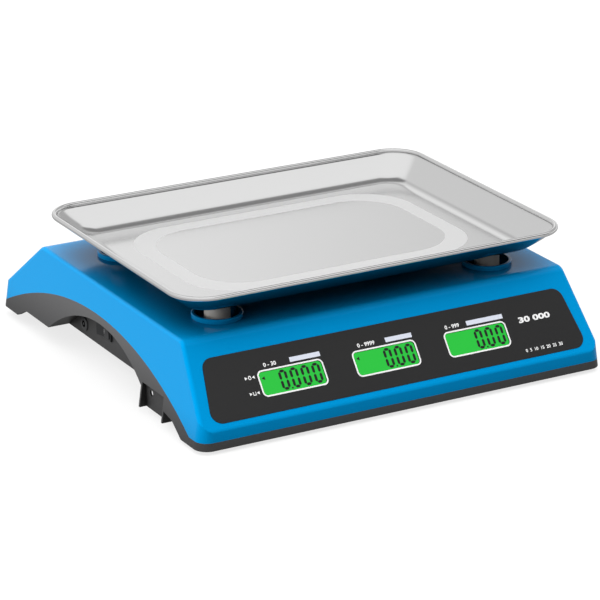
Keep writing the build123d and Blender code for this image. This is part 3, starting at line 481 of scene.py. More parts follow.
def make_piece(name: str, points: np.ndarray, faces: list[list[int]], material: bpy.types.Material,
               body: str, smooth: bool = False) -> bpy.types.Object:
    """Writes a mesh, gives it its finish and sets it on a body.

    Args:
        name: Name of the piece.
        points: n by 3 positions in millimetres.
        faces: Corner numbers of each face.
        material: Its finish.
        body: Moving body that it rides on.
        smooth: Whether its normals run smoothly over its faces.

    Returns:
        The object.
    """
    mesh = bpy.data.meshes.new(name)
    mesh.from_pydata((np.asarray(points) * MM).tolist(), [], faces)
    mesh.materials.append(material)
    mesh.polygons.foreach_set("use_smooth", np.full(len(mesh.polygons), smooth))
    mesh.update()
    made = bpy.data.objects.new(name, mesh)
    bpy.context.scene.collection.objects.link(made)
    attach(made, body)
    LOG.info("%s: %d faces on %s", name, len(faces), body)
    return made


def dress(name: str, material: bpy.types.Material) -> None:
    """Gives one construction piece its finish.

    Args:
        name: Its node.
        material: The finish.
    """
    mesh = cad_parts[name].data
    mesh.materials.clear()
    mesh.materials.append(material)
    LOG.info("%s: %s", name, material.name)


def rounded_loop(width: float, height: float, radius: float, middle: tuple[float, float] = (0.0, 0.0),
                 steps: int = 8) -> np.ndarray:
    """Outline of a rounded rectangle, anticlockwise.

    Each corner is a quarter circle about a point one radius in from both sides.

    Args:
        width: Full width.
        height: Full height.
        radius: Corner radius.
        middle: Its middle.
        steps: Segments in each corner.

    Returns:
        n by 2 positions.
    """
    quarter = np.linspace(0, math.pi / 2, steps + 1)
    turns = (quarter[None, :] + np.arange(4)[:, None] * math.pi / 2).ravel()
    signs = np.repeat(np.array([(1, 1), (-1, 1), (-1, -1), (1, -1)]), steps + 1, axis=0)
    inner = np.array([width / 2 - radius, height / 2 - radius])
    return signs * inner + radius * np.stack([np.cos(turns), np.sin(turns)], axis=1) + np.array(middle)


def circle(radius: float, middle: tuple[float, float] = (0.0, 0.0), count: int = 32) -> np.ndarray:
    """Outline of a circle, anticlockwise.

    Args:
        radius: Its radius.
        middle: Its middle.
        count: Number of points.

    Returns:
        n by 2 positions.
    """
    turns = np.arange(count) * 2 * math.pi / count
    return radius * np.stack([np.cos(turns), np.sin(turns)], axis=1) + np.array(middle)


def rectangle(left: float, right: float, low: float, high: float) -> np.ndarray:
    """Corners of a rectangle, anticlockwise.

    Args:
        left: Lowest u.
        right: Highest u.
        low: Lowest v.
        high: Highest v.

    Returns:
        4 by 2 positions.
    """
    return np.array([(left, low), (right, low), (right, high), (left, high)])


def bar(start: np.ndarray, end: np.ndarray, half: float) -> np.ndarray:
    """Corners of a straight bar, anticlockwise: each end moved by half the width to both sides.

    Args:
        start: Middle of one end.
        end: Middle of the other end.
        half: Half its width.

    Returns:
        4 by 2 positions.
    """
    along = (end - start) / np.linalg.norm(end - start)
    across = np.array([-along[1], along[0]]) * half
    return np.array([start - across, end - across, end + across, start + across])


@dataclass(frozen=True)
class Figures:
    """A line of plain figures in the built-in typeface.

    Args:
        text: The figures.
        height: Height of a figure.
        middle: Middle of the line.
        stretch: Width against the typeface's own.
        weight: Thickening of the strokes.
        steps: Segments in each curve of a figure.
    """

    text: str
    height: float
    middle: tuple[float, float]
    stretch: float = 1.0
    weight: float = 0.02
    steps: int = 4

    def draw(self, surface: Surface) -> None:
        """Adds the figures.

        Args:
            surface: Where they go.
        """
        curve = bpy.data.curves.new("figures", "FONT")
        curve.body = self.text
        curve.offset = self.weight
        curve.resolution_u = self.steps
        holder = bpy.data.objects.new("figures", curve)
        mesh = bpy.data.meshes.new_from_object(holder)
        points = np.zeros(len(mesh.vertices) * 3)
        mesh.vertices.foreach_get("co", points)
        points = points.reshape(-1, 3)[:, :2]
        low, high = points.min(axis=0), points.max(axis=0)
        scale = self.height / (high[1] - low[1])
        points = (points - (low + high) / 2) * (scale * self.stretch, scale) + np.array(self.middle)
        surface.merge(points, [list(face.vertices) for face in mesh.polygons])
        bpy.data.objects.remove(holder)
        bpy.data.curves.remove(curve)
        bpy.data.meshes.remove(mesh)


@dataclass(frozen=True)
class ScaleMark:
    """A common mark of scales: two arrowheads that point at a nought, or at an open tray.

    Args:
        tray: True for the tray.
        tip: From the middle to the tip of an arrowhead.
        head: Length and half width of an arrowhead.
        nought: Width, height and corner radius of the nought's outer and inner edge.
        tray_half: Half width of the tray.
        tray_wall: Thickness of its walls.
        tray_heights: Under its floor, over its floor and over its walls, from the middle.
    """

    tray: bool
    tip: float = 1.9
    head: tuple[float, float] = (2.2, 1.3)
    nought: tuple[tuple[float, float, float], ...] = ((2.4, 3.2, 1.1), (1.2, 2.0, 0.5))
    tray_half: float = 1.3
    tray_wall: float = 0.5
    tray_heights: tuple[float, float, float] = (-1.5, -0.9, 1.3)

    def draw(self, surface: Surface, middle: tuple[float, float]) -> None:
        """Adds the mark.

        Args:
            surface: Where it goes.
            middle: Its middle.
        """
        u, v = middle
        length, half = self.head
        for side in (-1, 1):
            tip = u + side * self.tip
            back = tip + side * length
            surface.patch(np.array([(tip, v), (back, v - side * half), (back, v + side * half)]))
        if not self.tray:
            surface.band(*[rounded_loop(*edge, middle) for edge in self.nought])
            return
        under, over, top = [v + height for height in self.tray_heights]
        left, right = u - self.tray_half, u + self.tray_half
        surface.patch(rectangle(left, right, under, over))
        surface.patch(rectangle(left, left + self.tray_wall, over, top))
        surface.patch(rectangle(right - self.tray_wall, right, over, top))


# ---------------------------------------------------------------- slopes
@dataclass(frozen=True)
class Slope:
    """A sloping face of the upper housing, with local u to the reader's right and v up the slope.

    Args:
        crease_y: Where it meets the deck.
        angle: Degrees from level.
        distance: From the crease down to the panel's middle.
        facing: -1 towards the customer, 1 towards the operator.
    """

    crease_y: float
    angle: float
    distance: float
    facing: int

    def place(self, points: np.ndarray, lift: float) -> np.ndarray:
        """Lays flat points on the slope.

        Args:
            points: n by 2 positions (u, v).
            lift: Height above the slope.

        Returns:
            n by 3 positions in the row frame.
        """
        run, fall = math.cos(math.radians(self.angle)), math.sin(math.radians(self.angle))
        origin = np.array([
            0.0, self.crease_y + self.facing * self.distance * run, DECK_Z - self.distance * fall])
        right = np.array([-self.facing, 0.0, 0.0])
        up = np.array([0.0, -self.facing * run, fall])
        out = np.array([0.0, self.facing * fall, run])
        return origin + points[:, :1] * right + points[:, 1:2] * up + lift * out


CUSTOMER = Slope(-129.3, 51.6, 42.1, -1)
OPERATOR = Slope(113.3, 38.5, 38.4, 1)


@dataclass
class Print:
    """Ink or segments printed on a slope.

    Args:
        slope: Where it lies.
        lift: Height of the surface that it is printed on.
        surface: What is printed.
    """

    slope: Slope
    lift: float
    surface: Surface = field(default_factory=Surface)

    def build(self, name: str, material: bpy.types.Material, body: str, slot: str) -> bpy.types.Object:
        """Makes the piece from what was gathered.

        Args:
            name: Name of the piece.
            material: Its finish.
            body: Body that it rides on.
            slot: Not used.

        Returns:
            The object.
        """
        placed = self.slope.place(self.surface.flat(), self.lift + INK)
        return make_piece(name, placed, self.surface.faces, material, body)


# ---------------------------------------------------------------- displays
@dataclass(frozen=True)
class Digits:
    """Seven-segment figures of one display.

    Args:
        width: Width of a figure.
        height: Height of a figure.
        stroke: Width of a segment.
        gap: Gap between segments.
        pitch: Distance from figure to figure.
        margin: From the right edge of the window to the last figure.
        point: Side of the decimal point.
        pointer: Tip of the small pointer, from the window's left edge and above its middle.
        pointer_head: Length and half width of the pointer.
    """

    width: float = 7.0
    height: float = 16.0
    stroke: float = 2.2
    gap: float = 0.22
    pitch: float = 9.4
    margin: float = 2.2
    point: float = 1.3
    pointer: tuple[float, float] = (1.6, 4.2)
    pointer_head: tuple[float, float] = (2.8, 1.5)

    def segment(self, start: tuple[float, float], end: tuple[float, float]) -> np.ndarray:
        """Outline of a segment: a bar with a pointed end at each side.

        Args:
            start: One tip.
            end: The other tip.

        Returns:
            6 by 2 positions.
        """
        a, b = np.array(start), np.array(end)
        along = (b - a) / np.linalg.norm(b - a)
        across = np.array([-along[1], along[0]]) * self.stroke / 2
        a, b = a + along * self.gap, b - along * self.gap
        inset = along * self.stroke / 2
        return np.array([
            a, a + inset - across, b - inset - across, b, b - inset + across, a + inset + across])

    def figure(self, middle: tuple[float, float]) -> list[np.ndarray]:
        """The six lit segments of a zero.

        Args:
            middle: Middle of the figure.

        Returns:
            Segment outlines.
        """
        x = self.width / 2 - self.stroke / 2
        y = self.height / 2 - self.stroke / 2
        corners = [(-x, y), (x, y), (x, 0.0), (x, -y), (-x, -y), (-x, 0.0), (-x, y)]
        return [self.segment(a, b) + np.array(middle) for a, b in zip(corners, corners[1:])]

    def reading(self, window: tuple[float, float], count: int, point_after: int, pointer: bool) -> Surface:
        """Gathers a reading of zeros, right-aligned in its window.

        Args:
            window: Middle of the window.
            count: Number of figures.
            point_after: Figures in front of the decimal point.
            pointer: Whether the small pointer at the upper left is lit.

        Returns:
            The gathered outlines.
        """
        surface = Surface()
        last = window[0] + WINDOW_SIZE[0] / 2 - self.margin - self.width / 2
        places = [last - (count - 1 - i) * self.pitch for i in range(count)]
        for u in places:
            for outline in self.figure((u, window[1])):
                surface.patch(outline)
        left = places[point_after - 1] + self.pitch / 2 - self.point / 2
        base = window[1] - self.height / 2
        surface.patch(rectangle(left, left + self.point, base, base + self.point))
        if pointer:
            u, v = window[0] - WINDOW_SIZE[0] / 2 + self.pointer[0], window[1] + self.pointer[1]
            length, half = self.pointer_head
            surface.patch(np.array([(u, v), (u + length, v - half), (u + length, v + half)]))
        return surface


@dataclass(frozen=True)
class DisplayRow:
    """The three displays of one side.

    Args:
        side: "customer" or "operator".
        slope: Slope that they lie on.
        middle: Middle of the middle window.
        counts: Number of figures of each display, from the reader's left.
        whole: Figures in front of the decimal point.
        pointers: Whether the small pointer of each is lit.
        line: The white line round a window, from the window to its outer and its inner edge.
    """

    side: str
    slope: Slope
    middle: tuple[float, float]
    counts: tuple[int, ...] = (4, 3, 3)
    whole: int = 1
    pointers: tuple[bool, ...] = (True, True, False)
    line: tuple[float, float] = (1.3, 0.1)

    def window(self, index: int) -> tuple[float, float]:
        """Middle of one window.

        Args:
            index: 0 to 2 from the reader's left.

        Returns:
            Its u and v.
        """
        return (self.middle[0] + (index - 1) * WINDOW_PITCH, self.middle[1])

    def build(self, materials: Materials) -> None:
        """Dresses the glass of each display and makes its lit figures.

        Args:
            materials: The scene's materials.
        """
        for index, value in enumerate(VALUES):
            dress(f"{self.side}_display_{value}", materials.glass)
            surface = Digits().reading(
                self.window(index), self.counts[index], self.whole, self.pointers[index])
            Print(self.slope, GLASS_FACE, surface).build(
                f"{self.side}_digits_{value}", materials[Stock.SEGMENT], "base", "display_green")

    def outlines(self) -> Surface:
        """Gathers the white line round each window.

        Returns:
            The gathered rings.
        """
        surface = Surface()
        width, height, radius = WINDOW_SIZE
        outer, inner = self.line
        for index in range(len(VALUES)):
            place = self.window(index)
            surface.band(rounded_loop(width + 2 * outer, height + 2 * outer, radius + outer, place),
                         rounded_loop(width + 2 * inner, height + 2 * inner, radius, place))
        return surface


# ---------------------------------------------------------------- printed panels
@dataclass(frozen=True)
class CustomerPrint:
    """What is printed on the customer's panel.

    Args:
        displays: The displays that it frames.
        bars: Left and right end of the pale bar above each window.
        bar_v: Lower and upper edge of the bars.
        ranges: Plain number range in front of each bar, and its middle.
        range_height: Height of those numbers.
        range_stretch: Their width against the typeface's own.
        range_weight: Thickening of their strokes.
        numbers: The other plain numbers, along the panel's right.
        marks: The two marks at the panel's left, and their middles.
    """

    displays: DisplayRow
    bars: tuple[tuple[float, float], ...] = ((-88.0, -62.0), (-5.0, 18.3), (67.5, 100.3))
    bar_v: tuple[float, float] = (9.9, 13.6)
    ranges: tuple[tuple[str, float], ...] = (("0 - 30", -105.0), ("0 - 9999", -22.0), ("0 - 999", 54.5))
    range_height: float = 3.3
    range_stretch: float = 1.05
    range_weight: float = 0.03
    numbers: tuple[Figures, ...] = (
        Figures("0  5  10  15  20  25  30", 2.7, (127.5, -19.2)),
        Figures("30 000", 4.8, (127.5, 5.6), stretch=1.7, weight=0.04))
    marks: tuple[tuple[ScaleMark, tuple[float, float]], ...] = (
        (ScaleMark(tray=False), (-124.3, 4.2)), (ScaleMark(tray=True), (-124.3, -8.2)))

    def build(self, materials: Materials) -> None:
        """Makes the white and the pale ink.

        Args:
            materials: The scene's materials.
        """
        white = Print(self.displays.slope, PANEL_FACE, self.displays.outlines())
        for text, u in self.ranges:
            Figures(text, self.range_height, (u, sum(self.bar_v) / 2), self.range_stretch,
                    self.range_weight).draw(white.surface)
        for figures in self.numbers:
            figures.draw(white.surface)
        for mark, middle in self.marks:
            mark.draw(white.surface, middle)
        white.build("customer_print_white", materials[Stock.WHITE_INK], "base", "panel_film")
        pale = Print(self.displays.slope, PANEL_FACE)
        for left, right in self.bars:
            pale.surface.patch(rectangle(left, right, *self.bar_v))
        pale.build("customer_print_bars", materials[Stock.PALE_INK], "base", "panel_film")


@dataclass(frozen=True)
class OperatorPrint:
    """What is printed on the operator's panel: the line round each window.

    Args:
        displays: The displays that it frames.
    """

    displays: DisplayRow

    def build(self, materials: Materials) -> None:
        """Makes the white ink.

        Args:
            materials: The scene's materials.
        """
        Print(self.displays.slope, PANEL_FACE, self.displays.outlines()).build(
            "operator_print_white", materials[Stock.WHITE_INK], "base", "panel_film")


@dataclass(frozen=True)
class Keypad:
    """Finishes and legends of the operator's keys.

    Args:
        keys: Keys row by row from the top, from the operator's left.
        columns: Keys in a row.
        pitch: Distance from key to key along a row and from row to row.
        middle_v: Middle of the keypad up the slope.
        top: Height of a key above the slope.
        figure_height: Height of a figure.
        figure_weight: Thickening of its strokes.
        point: Radius of the decimal point.
        dot: Radius of a memory's dot.
        dot_pitch: Distance from dot to dot.
        disc: Radius of the sun's disc.
        ray: Start and end of a ray from the sun's middle.
        ray_half: Half width of a ray.
        rays: Number of rays.
        cross: Half length and half width of a stroke of the cross and of the plus.
    """

    keys: tuple[str, ...] = (
        "memory_1", "memory_2", "digit_1", "digit_2", "digit_3",
        "digit_4", "digit_5", "zero", "tare", "light",
        "memory_3", "memory_4", "digit_6", "digit_7", "digit_8",
        "digit_9", "digit_0", "point", "clear", "add")
    columns: int = 10
    pitch: tuple[float, float] = (28.0, 14.0)
    middle_v: float = -14.5
    top: float = 2.3
    figure_height: float = 5.2
    figure_weight: float = 0.015
    point: float = 0.75
    dot: float = 0.8
    dot_pitch: float = 3.0
    disc: float = 1.2
    ray: tuple[float, float] = (1.8, 3.0)
    ray_half: float = 0.2
    rays: int = 8
    cross: tuple[float, float] = (2.2, 0.4)

    def place(self, index: int) -> tuple[float, float]:
        """Middle of a key.

        Args:
            index: Its number in the list.

        Returns:
            Its u and v.
        """
        row, column = divmod(index, self.columns)
        return ((column - (self.columns - 1) / 2) * self.pitch[0],
                self.middle_v - (row - 0.5) * self.pitch[1])

    def build(self, materials: Materials) -> None:
        """Makes one legend for each key and colours the keys.

        Args:
            materials: The scene's materials.
        """
        for index, name in enumerate(self.keys):
            figure = name.startswith("digit") or name == "point"
            dress(f"key_{name}", materials[Stock.KEY_GREY if figure else Stock.KEY_BLUE])
            surface = Surface()
            self.draw(surface, name, self.place(index))
            ink = materials[Stock.DARK_INK if figure else Stock.WHITE_INK]
            Print(OPERATOR, self.top, surface).build(f"legend_{name}", ink, f"key_{name}", "key_plastic")

    def draw(self, surface: Surface, name: str, middle: tuple[float, float]) -> None:
        """Adds the mark of one key.

        Args:
            surface: Where it goes.
            name: Name of the key.
            middle: Middle of the key.
        """
        if name.startswith("digit"):
            Figures(name[-1], self.figure_height, middle, weight=self.figure_weight).draw(surface)
        elif name == "point":
            surface.patch(circle(self.point, middle, DOT_POINTS))
        elif name.startswith("memory"):
            count = int(name[-1])
            for i in range(count):
                u = middle[0] + (i - (count - 1) / 2) * self.dot_pitch
                surface.patch(circle(self.dot, (u, middle[1]), DOT_POINTS))
        elif name in ("zero", "tare"):
            ScaleMark(tray=name == "tare").draw(surface, middle)
        elif name == "light":
            surface.patch(circle(self.disc, middle, RING_POINTS))
            for turn in np.arange(self.rays) * 2 * math.pi / self.rays:
                along = np.array([math.cos(turn), math.sin(turn)])
                near, far = [np.array(middle) + along * reach for reach in self.ray]
                surface.patch(bar(near, far, self.ray_half))
        else:
            turn = math.pi / 4 if name == "clear" else 0.0
            length, half = self.cross
            for stroke in (turn, turn + math.pi / 2):
                along = np.array([math.cos(stroke), math.sin(stroke)]) * length
                surface.patch(bar(np.array(middle) - along, np.array(middle) + along, half))


# ---------------------------------------------------------------- pan
@dataclass(frozen=True)
class PanShape:
    """The pan's drawn sheet, carried round a rounded rectangle whose corners tighten towards the floor.

    Args:
        middle: Middle of the pan.
        rim_half: Half sizes of the line through the rolled rim's middle.
        rim_z: Height of that line.
        rim_radius: Radius of the rolled rim.
        rim_gap: From the rolled rim back to the last point of the wall.
        lean: Angle of the wall from level, in degrees.
        floor_z: Middle of the sheet in the floor.
        sheet: Thickness of the sheet.
        fold_radius: Radius of the fold, to the middle of the sheet.
        hollow: How far the wall curves outwards below its chord.
        corners: Corner radius at the rolled rim's middle and at the floor's edge.
        corner_steps: Segments in each corner.
        steps: Points of the section in the fold, the wall and the rim.
        crevice_shade: Reach of the painted shade along the section, from the rim's foot.
        crevice_shade_share: Share of the painted shade's colour there.
        crevice_shade_back: What is left of it along the front and the back, where more light gets in.
        crevice_shade_side: From the pan's middle across to where it starts to grow and to where all of it
            is.
        outside_share: Share of the same dark colour on the outside.
    """

    middle: tuple[float, float] = (-0.6, -15.1)
    rim_half: tuple[float, float] = (167.8, 123.4)
    rim_z: float = 106.39
    rim_radius: float = 2.0
    rim_gap: float = 0.1
    lean: float = 43.0
    floor_z: float = 87.45
    sheet: float = 0.9
    fold_radius: float = 22.0
    hollow: float = 0.35
    corners: tuple[float, float] = (27.0, 13.0)
    corner_steps: int = 20
    steps: tuple[int, int, int] = (15, 12, 41)
    crevice_shade: float = 1.2
    crevice_shade_share: float = 0.5
    crevice_shade_back: float = 0.35
    crevice_shade_side: tuple[float, float] = (135.3, 148.3)
    outside_share: float = 0.6

    def fold_middle(self) -> np.ndarray:
        """Middle of the fold's arc, which touches the floor and the wall.

        Returns:
            Its place outwards from the rim's middle and up.
        """
        lean = math.radians(self.lean)
        edge = (self.floor_z - self.rim_z) / math.tan(lean)
        return np.array([edge - self.fold_radius * math.tan(lean / 2), self.floor_z + self.fold_radius])

    def profile(self) -> tuple[np.ndarray, np.ndarray, np.ndarray]:
        """Closed section of the wall: up its inner face, round the rim and down its outer face.

        The middle of the wall's sheet runs from the fold's arc to the rim's middle at the angle of the
        lean, and hangs below that chord by a parabola. Inner and outer face lie half a sheet to each side,
        and the rim is a circle about its middle that starts and ends on the two faces. The painted shade in
        the rim's gap is a bell curve of the travel along the section, with its top half a reach past the
        rim's inner foot. The darker outside begins at the rim's outer foot, and fades over one rim radius
        before it.

        Returns:
            n by 2 positions, outwards from the rim's middle and up, and at each the share of the painted
            shade in the rim's gap and of the darker outside.
        """
        lean = math.radians(self.lean)
        turns = np.linspace(0, lean, self.steps[0])
        arc = np.stack([np.sin(turns), -np.cos(turns)], axis=1)
        across = np.array([-math.sin(lean), math.cos(lean)])
        rim = np.array([0.0, self.rim_z])
        reach = math.asin(self.sheet / 2 / self.rim_radius)
        round_turns = math.pi + lean - reach - np.linspace(0, 2 * (math.pi - reach), self.steps[2])
        bead = rim + self.rim_radius * np.stack([np.cos(round_turns), np.sin(round_turns)], axis=1)
        fold = self.fold_middle()
        low = fold + arc[-1] * self.fold_radius
        last = 1 - (self.rim_radius + self.rim_gap) / np.linalg.norm(rim - low)
        share = np.linspace(0, 1, self.steps[1] + 1)[1:, None] * last
        wall = low + share * (rim - low) - 4 * self.hollow * share * (1 - share) * across
        half = self.sheet / 2
        section = np.concatenate([
            fold + arc * (self.fold_radius - half), wall + across * half, bead,
            (wall - across * half)[::-1], (fold + arc * (self.fold_radius + half))[::-1]])
        foot = len(arc) + len(wall)
        travel = np.cumsum(np.linalg.norm(np.diff(section, axis=0, prepend=section[:1]), axis=1))
        past_foot = (travel - travel[foot] - self.crevice_shade / 2) / self.crevice_shade
        dark = self.crevice_shade_share * np.exp(-2 * past_foot ** 2)
        beyond = (travel - travel[foot + len(bead)]) / self.rim_radius
        return section, dark, self.outside_share * np.clip(1 + beyond, 0, 1)

    def corner(self, out: float) -> float:
        """Corner radius of the loop at one distance from the rim's middle.

        Outside and in the rim the loops are parallel. From the rim to the floor's edge the radius falls
        evenly to the one at the floor.

        Args:
            out: Distance outwards from the rim's middle.

        Returns:
            The radius.
        """
        if out > -self.rim_radius:
            return self.corners[0] + out
        top = self.corners[0] - self.rim_radius
        width = -self.fold_middle()[0] - self.rim_radius
        return top + (out + self.rim_radius) * (top - self.corners[1]) / width

    def build(self, materials: Materials) -> None:
        """Makes the pan and puts it in the plain one's place.

        Args:
            materials: The scene's materials.
        """
        section, crevice_shade, outside = self.profile()
        rings = []
        for out, height in section:
            width, depth = [2 * (half + out) for half in self.rim_half]
            loop = rounded_loop(width, depth, self.corner(out), self.middle, self.corner_steps)
            rings.append(np.column_stack([loop, np.full(len(loop), height)]))
        count = len(rings[0])
        here = np.arange(count)
        ahead = (here + 1) % count
        faces = []
        for low in range(0, (len(rings) - 1) * count, count):
            high = low + count
            faces += np.stack([low + here, high + here, high + ahead, low + ahead], axis=1).tolist()
        last = (len(rings) - 1) * count
        faces += [here.tolist(), (last + here[::-1]).tolist()]
        pan = make_piece("pan_sheet", np.concatenate(rings), faces, materials.pan, "pan", True)
        # The two faces of the floor are flat. Everything round them is shaded smoothly.
        for floor in pan.data.polygons[-2:]:
            floor.use_smooth = False
        # Painted shade: the gap's dark share, weaker along the front and the back, plus the darker outside,
        # is kept on each point for the sheet's material.
        start, end = self.crevice_shade_side
        side = np.clip((np.abs(rings[0][:, 0] - self.middle[0]) - start) / (end - start), 0, 1)
        along = self.crevice_shade_back + (1 - self.crevice_shade_back) * side
        share = np.outer(crevice_shade, along) + outside[:, None]
        pan.data.attributes.new("crevice_shade", "FLOAT", "POINT").data.foreach_set("value", share.ravel())
        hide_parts("weighing_pan")


# ---------------------------------------------------------------- small marks
@dataclass(frozen=True)
class RockerMarks:
    """The usual on and off marks, a bar and a ring, on the two facets of the rocker.

    Args:
        pivot: Middle of the rocker on the recess wall.
        tilt: Rest tilt in degrees.
        half: Half length of the rocker.
        valley: Distance of the valley from the wall.
        rise: How far the ends stand above the valley.
        stroke: Near and far edge of the bar from the pivot.
        ring: Outer and inner radius of the ring. The bar is as tall.
        ring_place: Middle of the ring from the pivot.
    """

    pivot: tuple[float, float, float] = (-158.0, 19.0, 32.5)
    tilt: float = 9.0
    half: float = 8.2
    valley: float = 2.4
    rise: float = 1.299
    stroke: tuple[float, float] = (4.0, 4.7)
    ring: tuple[float, float] = (1.9, 1.3)
    ring_place: float = -4.3

    def build(self, materials: Materials) -> None:
        """Makes both marks as one piece that tilts with the rocker.

        Each point stands off the wall by the valley's distance and a rise in step with its distance from
        the pivot, and the whole is turned by the tilt.

        Args:
            materials: The scene's materials.
        """
        surface = Surface()
        surface.patch(rectangle(*self.stroke, -self.ring[0], self.ring[0]))
        surface.band(*[circle(radius, (self.ring_place, 0.0), RING_POINTS) for radius in self.ring])
        flat = surface.flat()
        out = self.valley + np.abs(flat[:, 0]) * self.rise / self.half + INK
        turn = math.radians(self.tilt)
        along = np.array([-math.sin(turn), -math.cos(turn), 0.0])
        away = np.array([-math.cos(turn), math.sin(turn), 0.0])
        points = np.array(self.pivot) + flat[:, :1] * along + out[:, None] * away
        points[:, 2] += flat[:, 1]
        ink = materials[Stock.WHITE_INK]
        make_piece("rocker_marks", points, surface.faces, ink, "rocker")


@dataclass(frozen=True)
class ScrewCrossShades:
    """Painted shade of the cross recesses in the heads of the bottom screws: flat dark crosses stand for
    the shaded hollows.

    Args:
        places: Middles of the screws.
        face_z: Height of their heads' lower faces.
        half: Half length and half width of a stroke.
    """

    places: tuple[tuple[float, float], ...] = (
        (-148.0, -118.0), (148.0, -118.0), (-60.0, 100.0), (60.0, 100.0), (-146.0, 100.0), (146.0, 100.0))
    face_z: float = 15.0
    half: tuple[float, float] = (1.7, 0.4)

    def build(self, materials: Materials) -> None:
        """Makes the painted shade of the crosses as one piece that faces down.

        Args:
            materials: The scene's materials.
        """
        surface = Surface()
        long, thin = self.half
        for x, y in self.places:
            surface.patch(rectangle(x - long, x + long, y - thin, y + thin)[::-1])
            surface.patch(rectangle(x - thin, x + thin, y - long, y + long)[::-1])
        make_piece("screw_cross_shades", surface.level(self.face_z - INK), surface.faces,
                   materials[Stock.DARK_INK], "base")


@dataclass(frozen=True)
class LevelFace:
    """What is seen through the lens of the bubble level.

    Args:
        place: Middle of the level.
        face_z: Height of its face.
        liquid: Radius of the liquid.
        ring: Outer and inner radius of the ring that the bubble is set to.
        bubble: Radius of the bubble.
        bubble_place: Middle of the bubble.
    """

    place: tuple[float, float] = (0.0, 97.0)
    face_z: float = 75.2
    liquid: float = 6.6
    ring: tuple[float, float] = (3.4, 3.0)
    bubble: float = 2.2
    bubble_place: tuple[float, float] = (0.3, 96.8)

    def build(self, materials: Materials) -> None:
        """Makes the liquid, the ring and the bubble, as layers half an ink's height apart.

        Args:
            materials: The scene's materials.
        """
        for name, layer, stock, loops in (
                ("level_liquid", 1, Stock.LIQUID, [circle(self.liquid, self.place)]),
                ("level_ring", 3, Stock.DARK_INK, [circle(radius, self.place) for radius in self.ring]),
                ("level_bubble", 2, Stock.BUBBLE, [circle(self.bubble, self.bubble_place)])):
            surface = Surface()
            if len(loops) == 2:
                surface.band(*loops)
            else:
                surface.patch(*loops)
            make_piece(name, surface.level(self.face_z + layer * INK / 2), surface.faces,
                       materials[stock], "base")


# ---------------------------------------------------------------- dressing of the construction
@dataclass(frozen=True)
class Construction:
    """The construction pieces that keep one plain finish.

    Args:
        wear: Each finish, and the pieces that are made of it.
    """

    wear: tuple[tuple[Stock, tuple[str, ...]], ...] = (
        (Stock.BLUE_ABS, ("upper_housing",)),
        (Stock.GREY_ABS, ("lower_housing", "battery_door")),
        (Stock.ZINC, (
            "housing_screws", "load_cell_bolts", "load_frame_bolts", "overload_stops", "pan_pegs")),
        (Stock.ALUMINIUM, ("load_frame", "load_cell", "load_cell_riser", "load_frame_spacer")),
        (Stock.NYLON, tuple(f"pan_post_{corner}" for corner in CORNERS)),
        (Stock.RUBBER, ("post_pads", "load_cell_cable", *(f"foot_{corner}" for corner in CORNERS))),
        (Stock.SOLDER_MASK, ("main_board", "customer_board", "operator_board")),
        (Stock.BATTERY_ABS, ("battery",)),
        (Stock.BLACK_NYLON, ("power_jack", "power_switch", "power_rocker", "bubble_level")),
        (Stock.DARK_FILM, ("customer_panel", "operator_panel")),
        (Stock.SILICONE, ("key_mat",)),
    )

    def build(self, materials: Materials) -> None:
        """Gives every piece its finish.

        Args:
            materials: The scene's materials.
        """
        for stock, names in self.wear:
            for name in names:
                dress(name, materials[stock])
        dress("weighing_pan", materials.pan)


# ---------------------------------------------------------------- studio
@dataclass(frozen=True)
class Lamp:
    """A soft box that is aimed at the scale. It lights, and metal doesn't mirror it.

    Args:
        name: Its name.
        place: Where it hangs, in metres.
        size: Its width and height, in metres.
        power: Its power in watts.
        aim: What it is aimed at, in metres.
    """

    name: str
    place: tuple[float, float, float]
    size: tuple[float, float]
    power: float
    aim: tuple[float, float, float] = (0.0, 0.0, 0.05)

    def build(self) -> None:
        """Hangs the lamp."""
        data = bpy.data.lights.new(self.name, "AREA")
        data.shape = "RECTANGLE"
        data.size, data.size_y = self.size
        data.energy = self.power
        lamp = bpy.data.objects.new(self.name, data)
        lamp.visible_glossy = False
        lamp.location = self.place
        lamp.rotation_euler = (Vector(self.aim) - Vector(self.place)).to_track_quat("-Z", "Y").to_euler()
        bpy.context.scene.collection.objects.link(lamp)
        LOG.info("%s: %g W", self.name, self.power)


class Way(Enum):
    """Parts of a direction from the scale into the room."""

    ACROSS = 0                # to the right
    DEEP = 1                  # to the back
    HEIGHT = 2                # sine of the height


@dataclass(frozen=True)
class Step:
    """A soft step between a patch of the room and what lies on one side of it.

    Args:
        way: Part of the direction that it follows.
        ends: Where it starts and ends, in rising order.
        before: Whether that side is the one before its start, and not the one past its end.
        level: Strength on that side.
    """

    way: Way
    ends: tuple[float, float]
    before: bool = False
    level: float = 1.0


@dataclass(frozen=True)
class Patch:
    """A darker patch of the room.

    Args:
        level: Its strength, where the rest has 1.
        steps: Its sides, from the innermost.
    """

    level: float
    steps: tuple[Step, ...]

    def build(self, tree: bpy.types.NodeTree, ways: tuple[bpy.types.NodeSocket, ...]) -> bpy.types.Node:
        """Adds the patch: each step runs smoothly between what is inside it and its own level.

        Args:
            tree: Node tree to add to.
            ways: Parts of the direction, in the order of Way.

        Returns:
            The node that gives the strength.
        """
        strength = self.level
        for step in self.steps:
            levels = (step.level, strength) if step.before else (strength, step.level)
            strength = node(tree, "MapRange", SOFT_STEP, {
                "Value": ways[step.way.value], "From Min": step.ends[0], "From Max": step.ends[1],
                "To Min": levels[0], "To Max": levels[1]})
        return strength


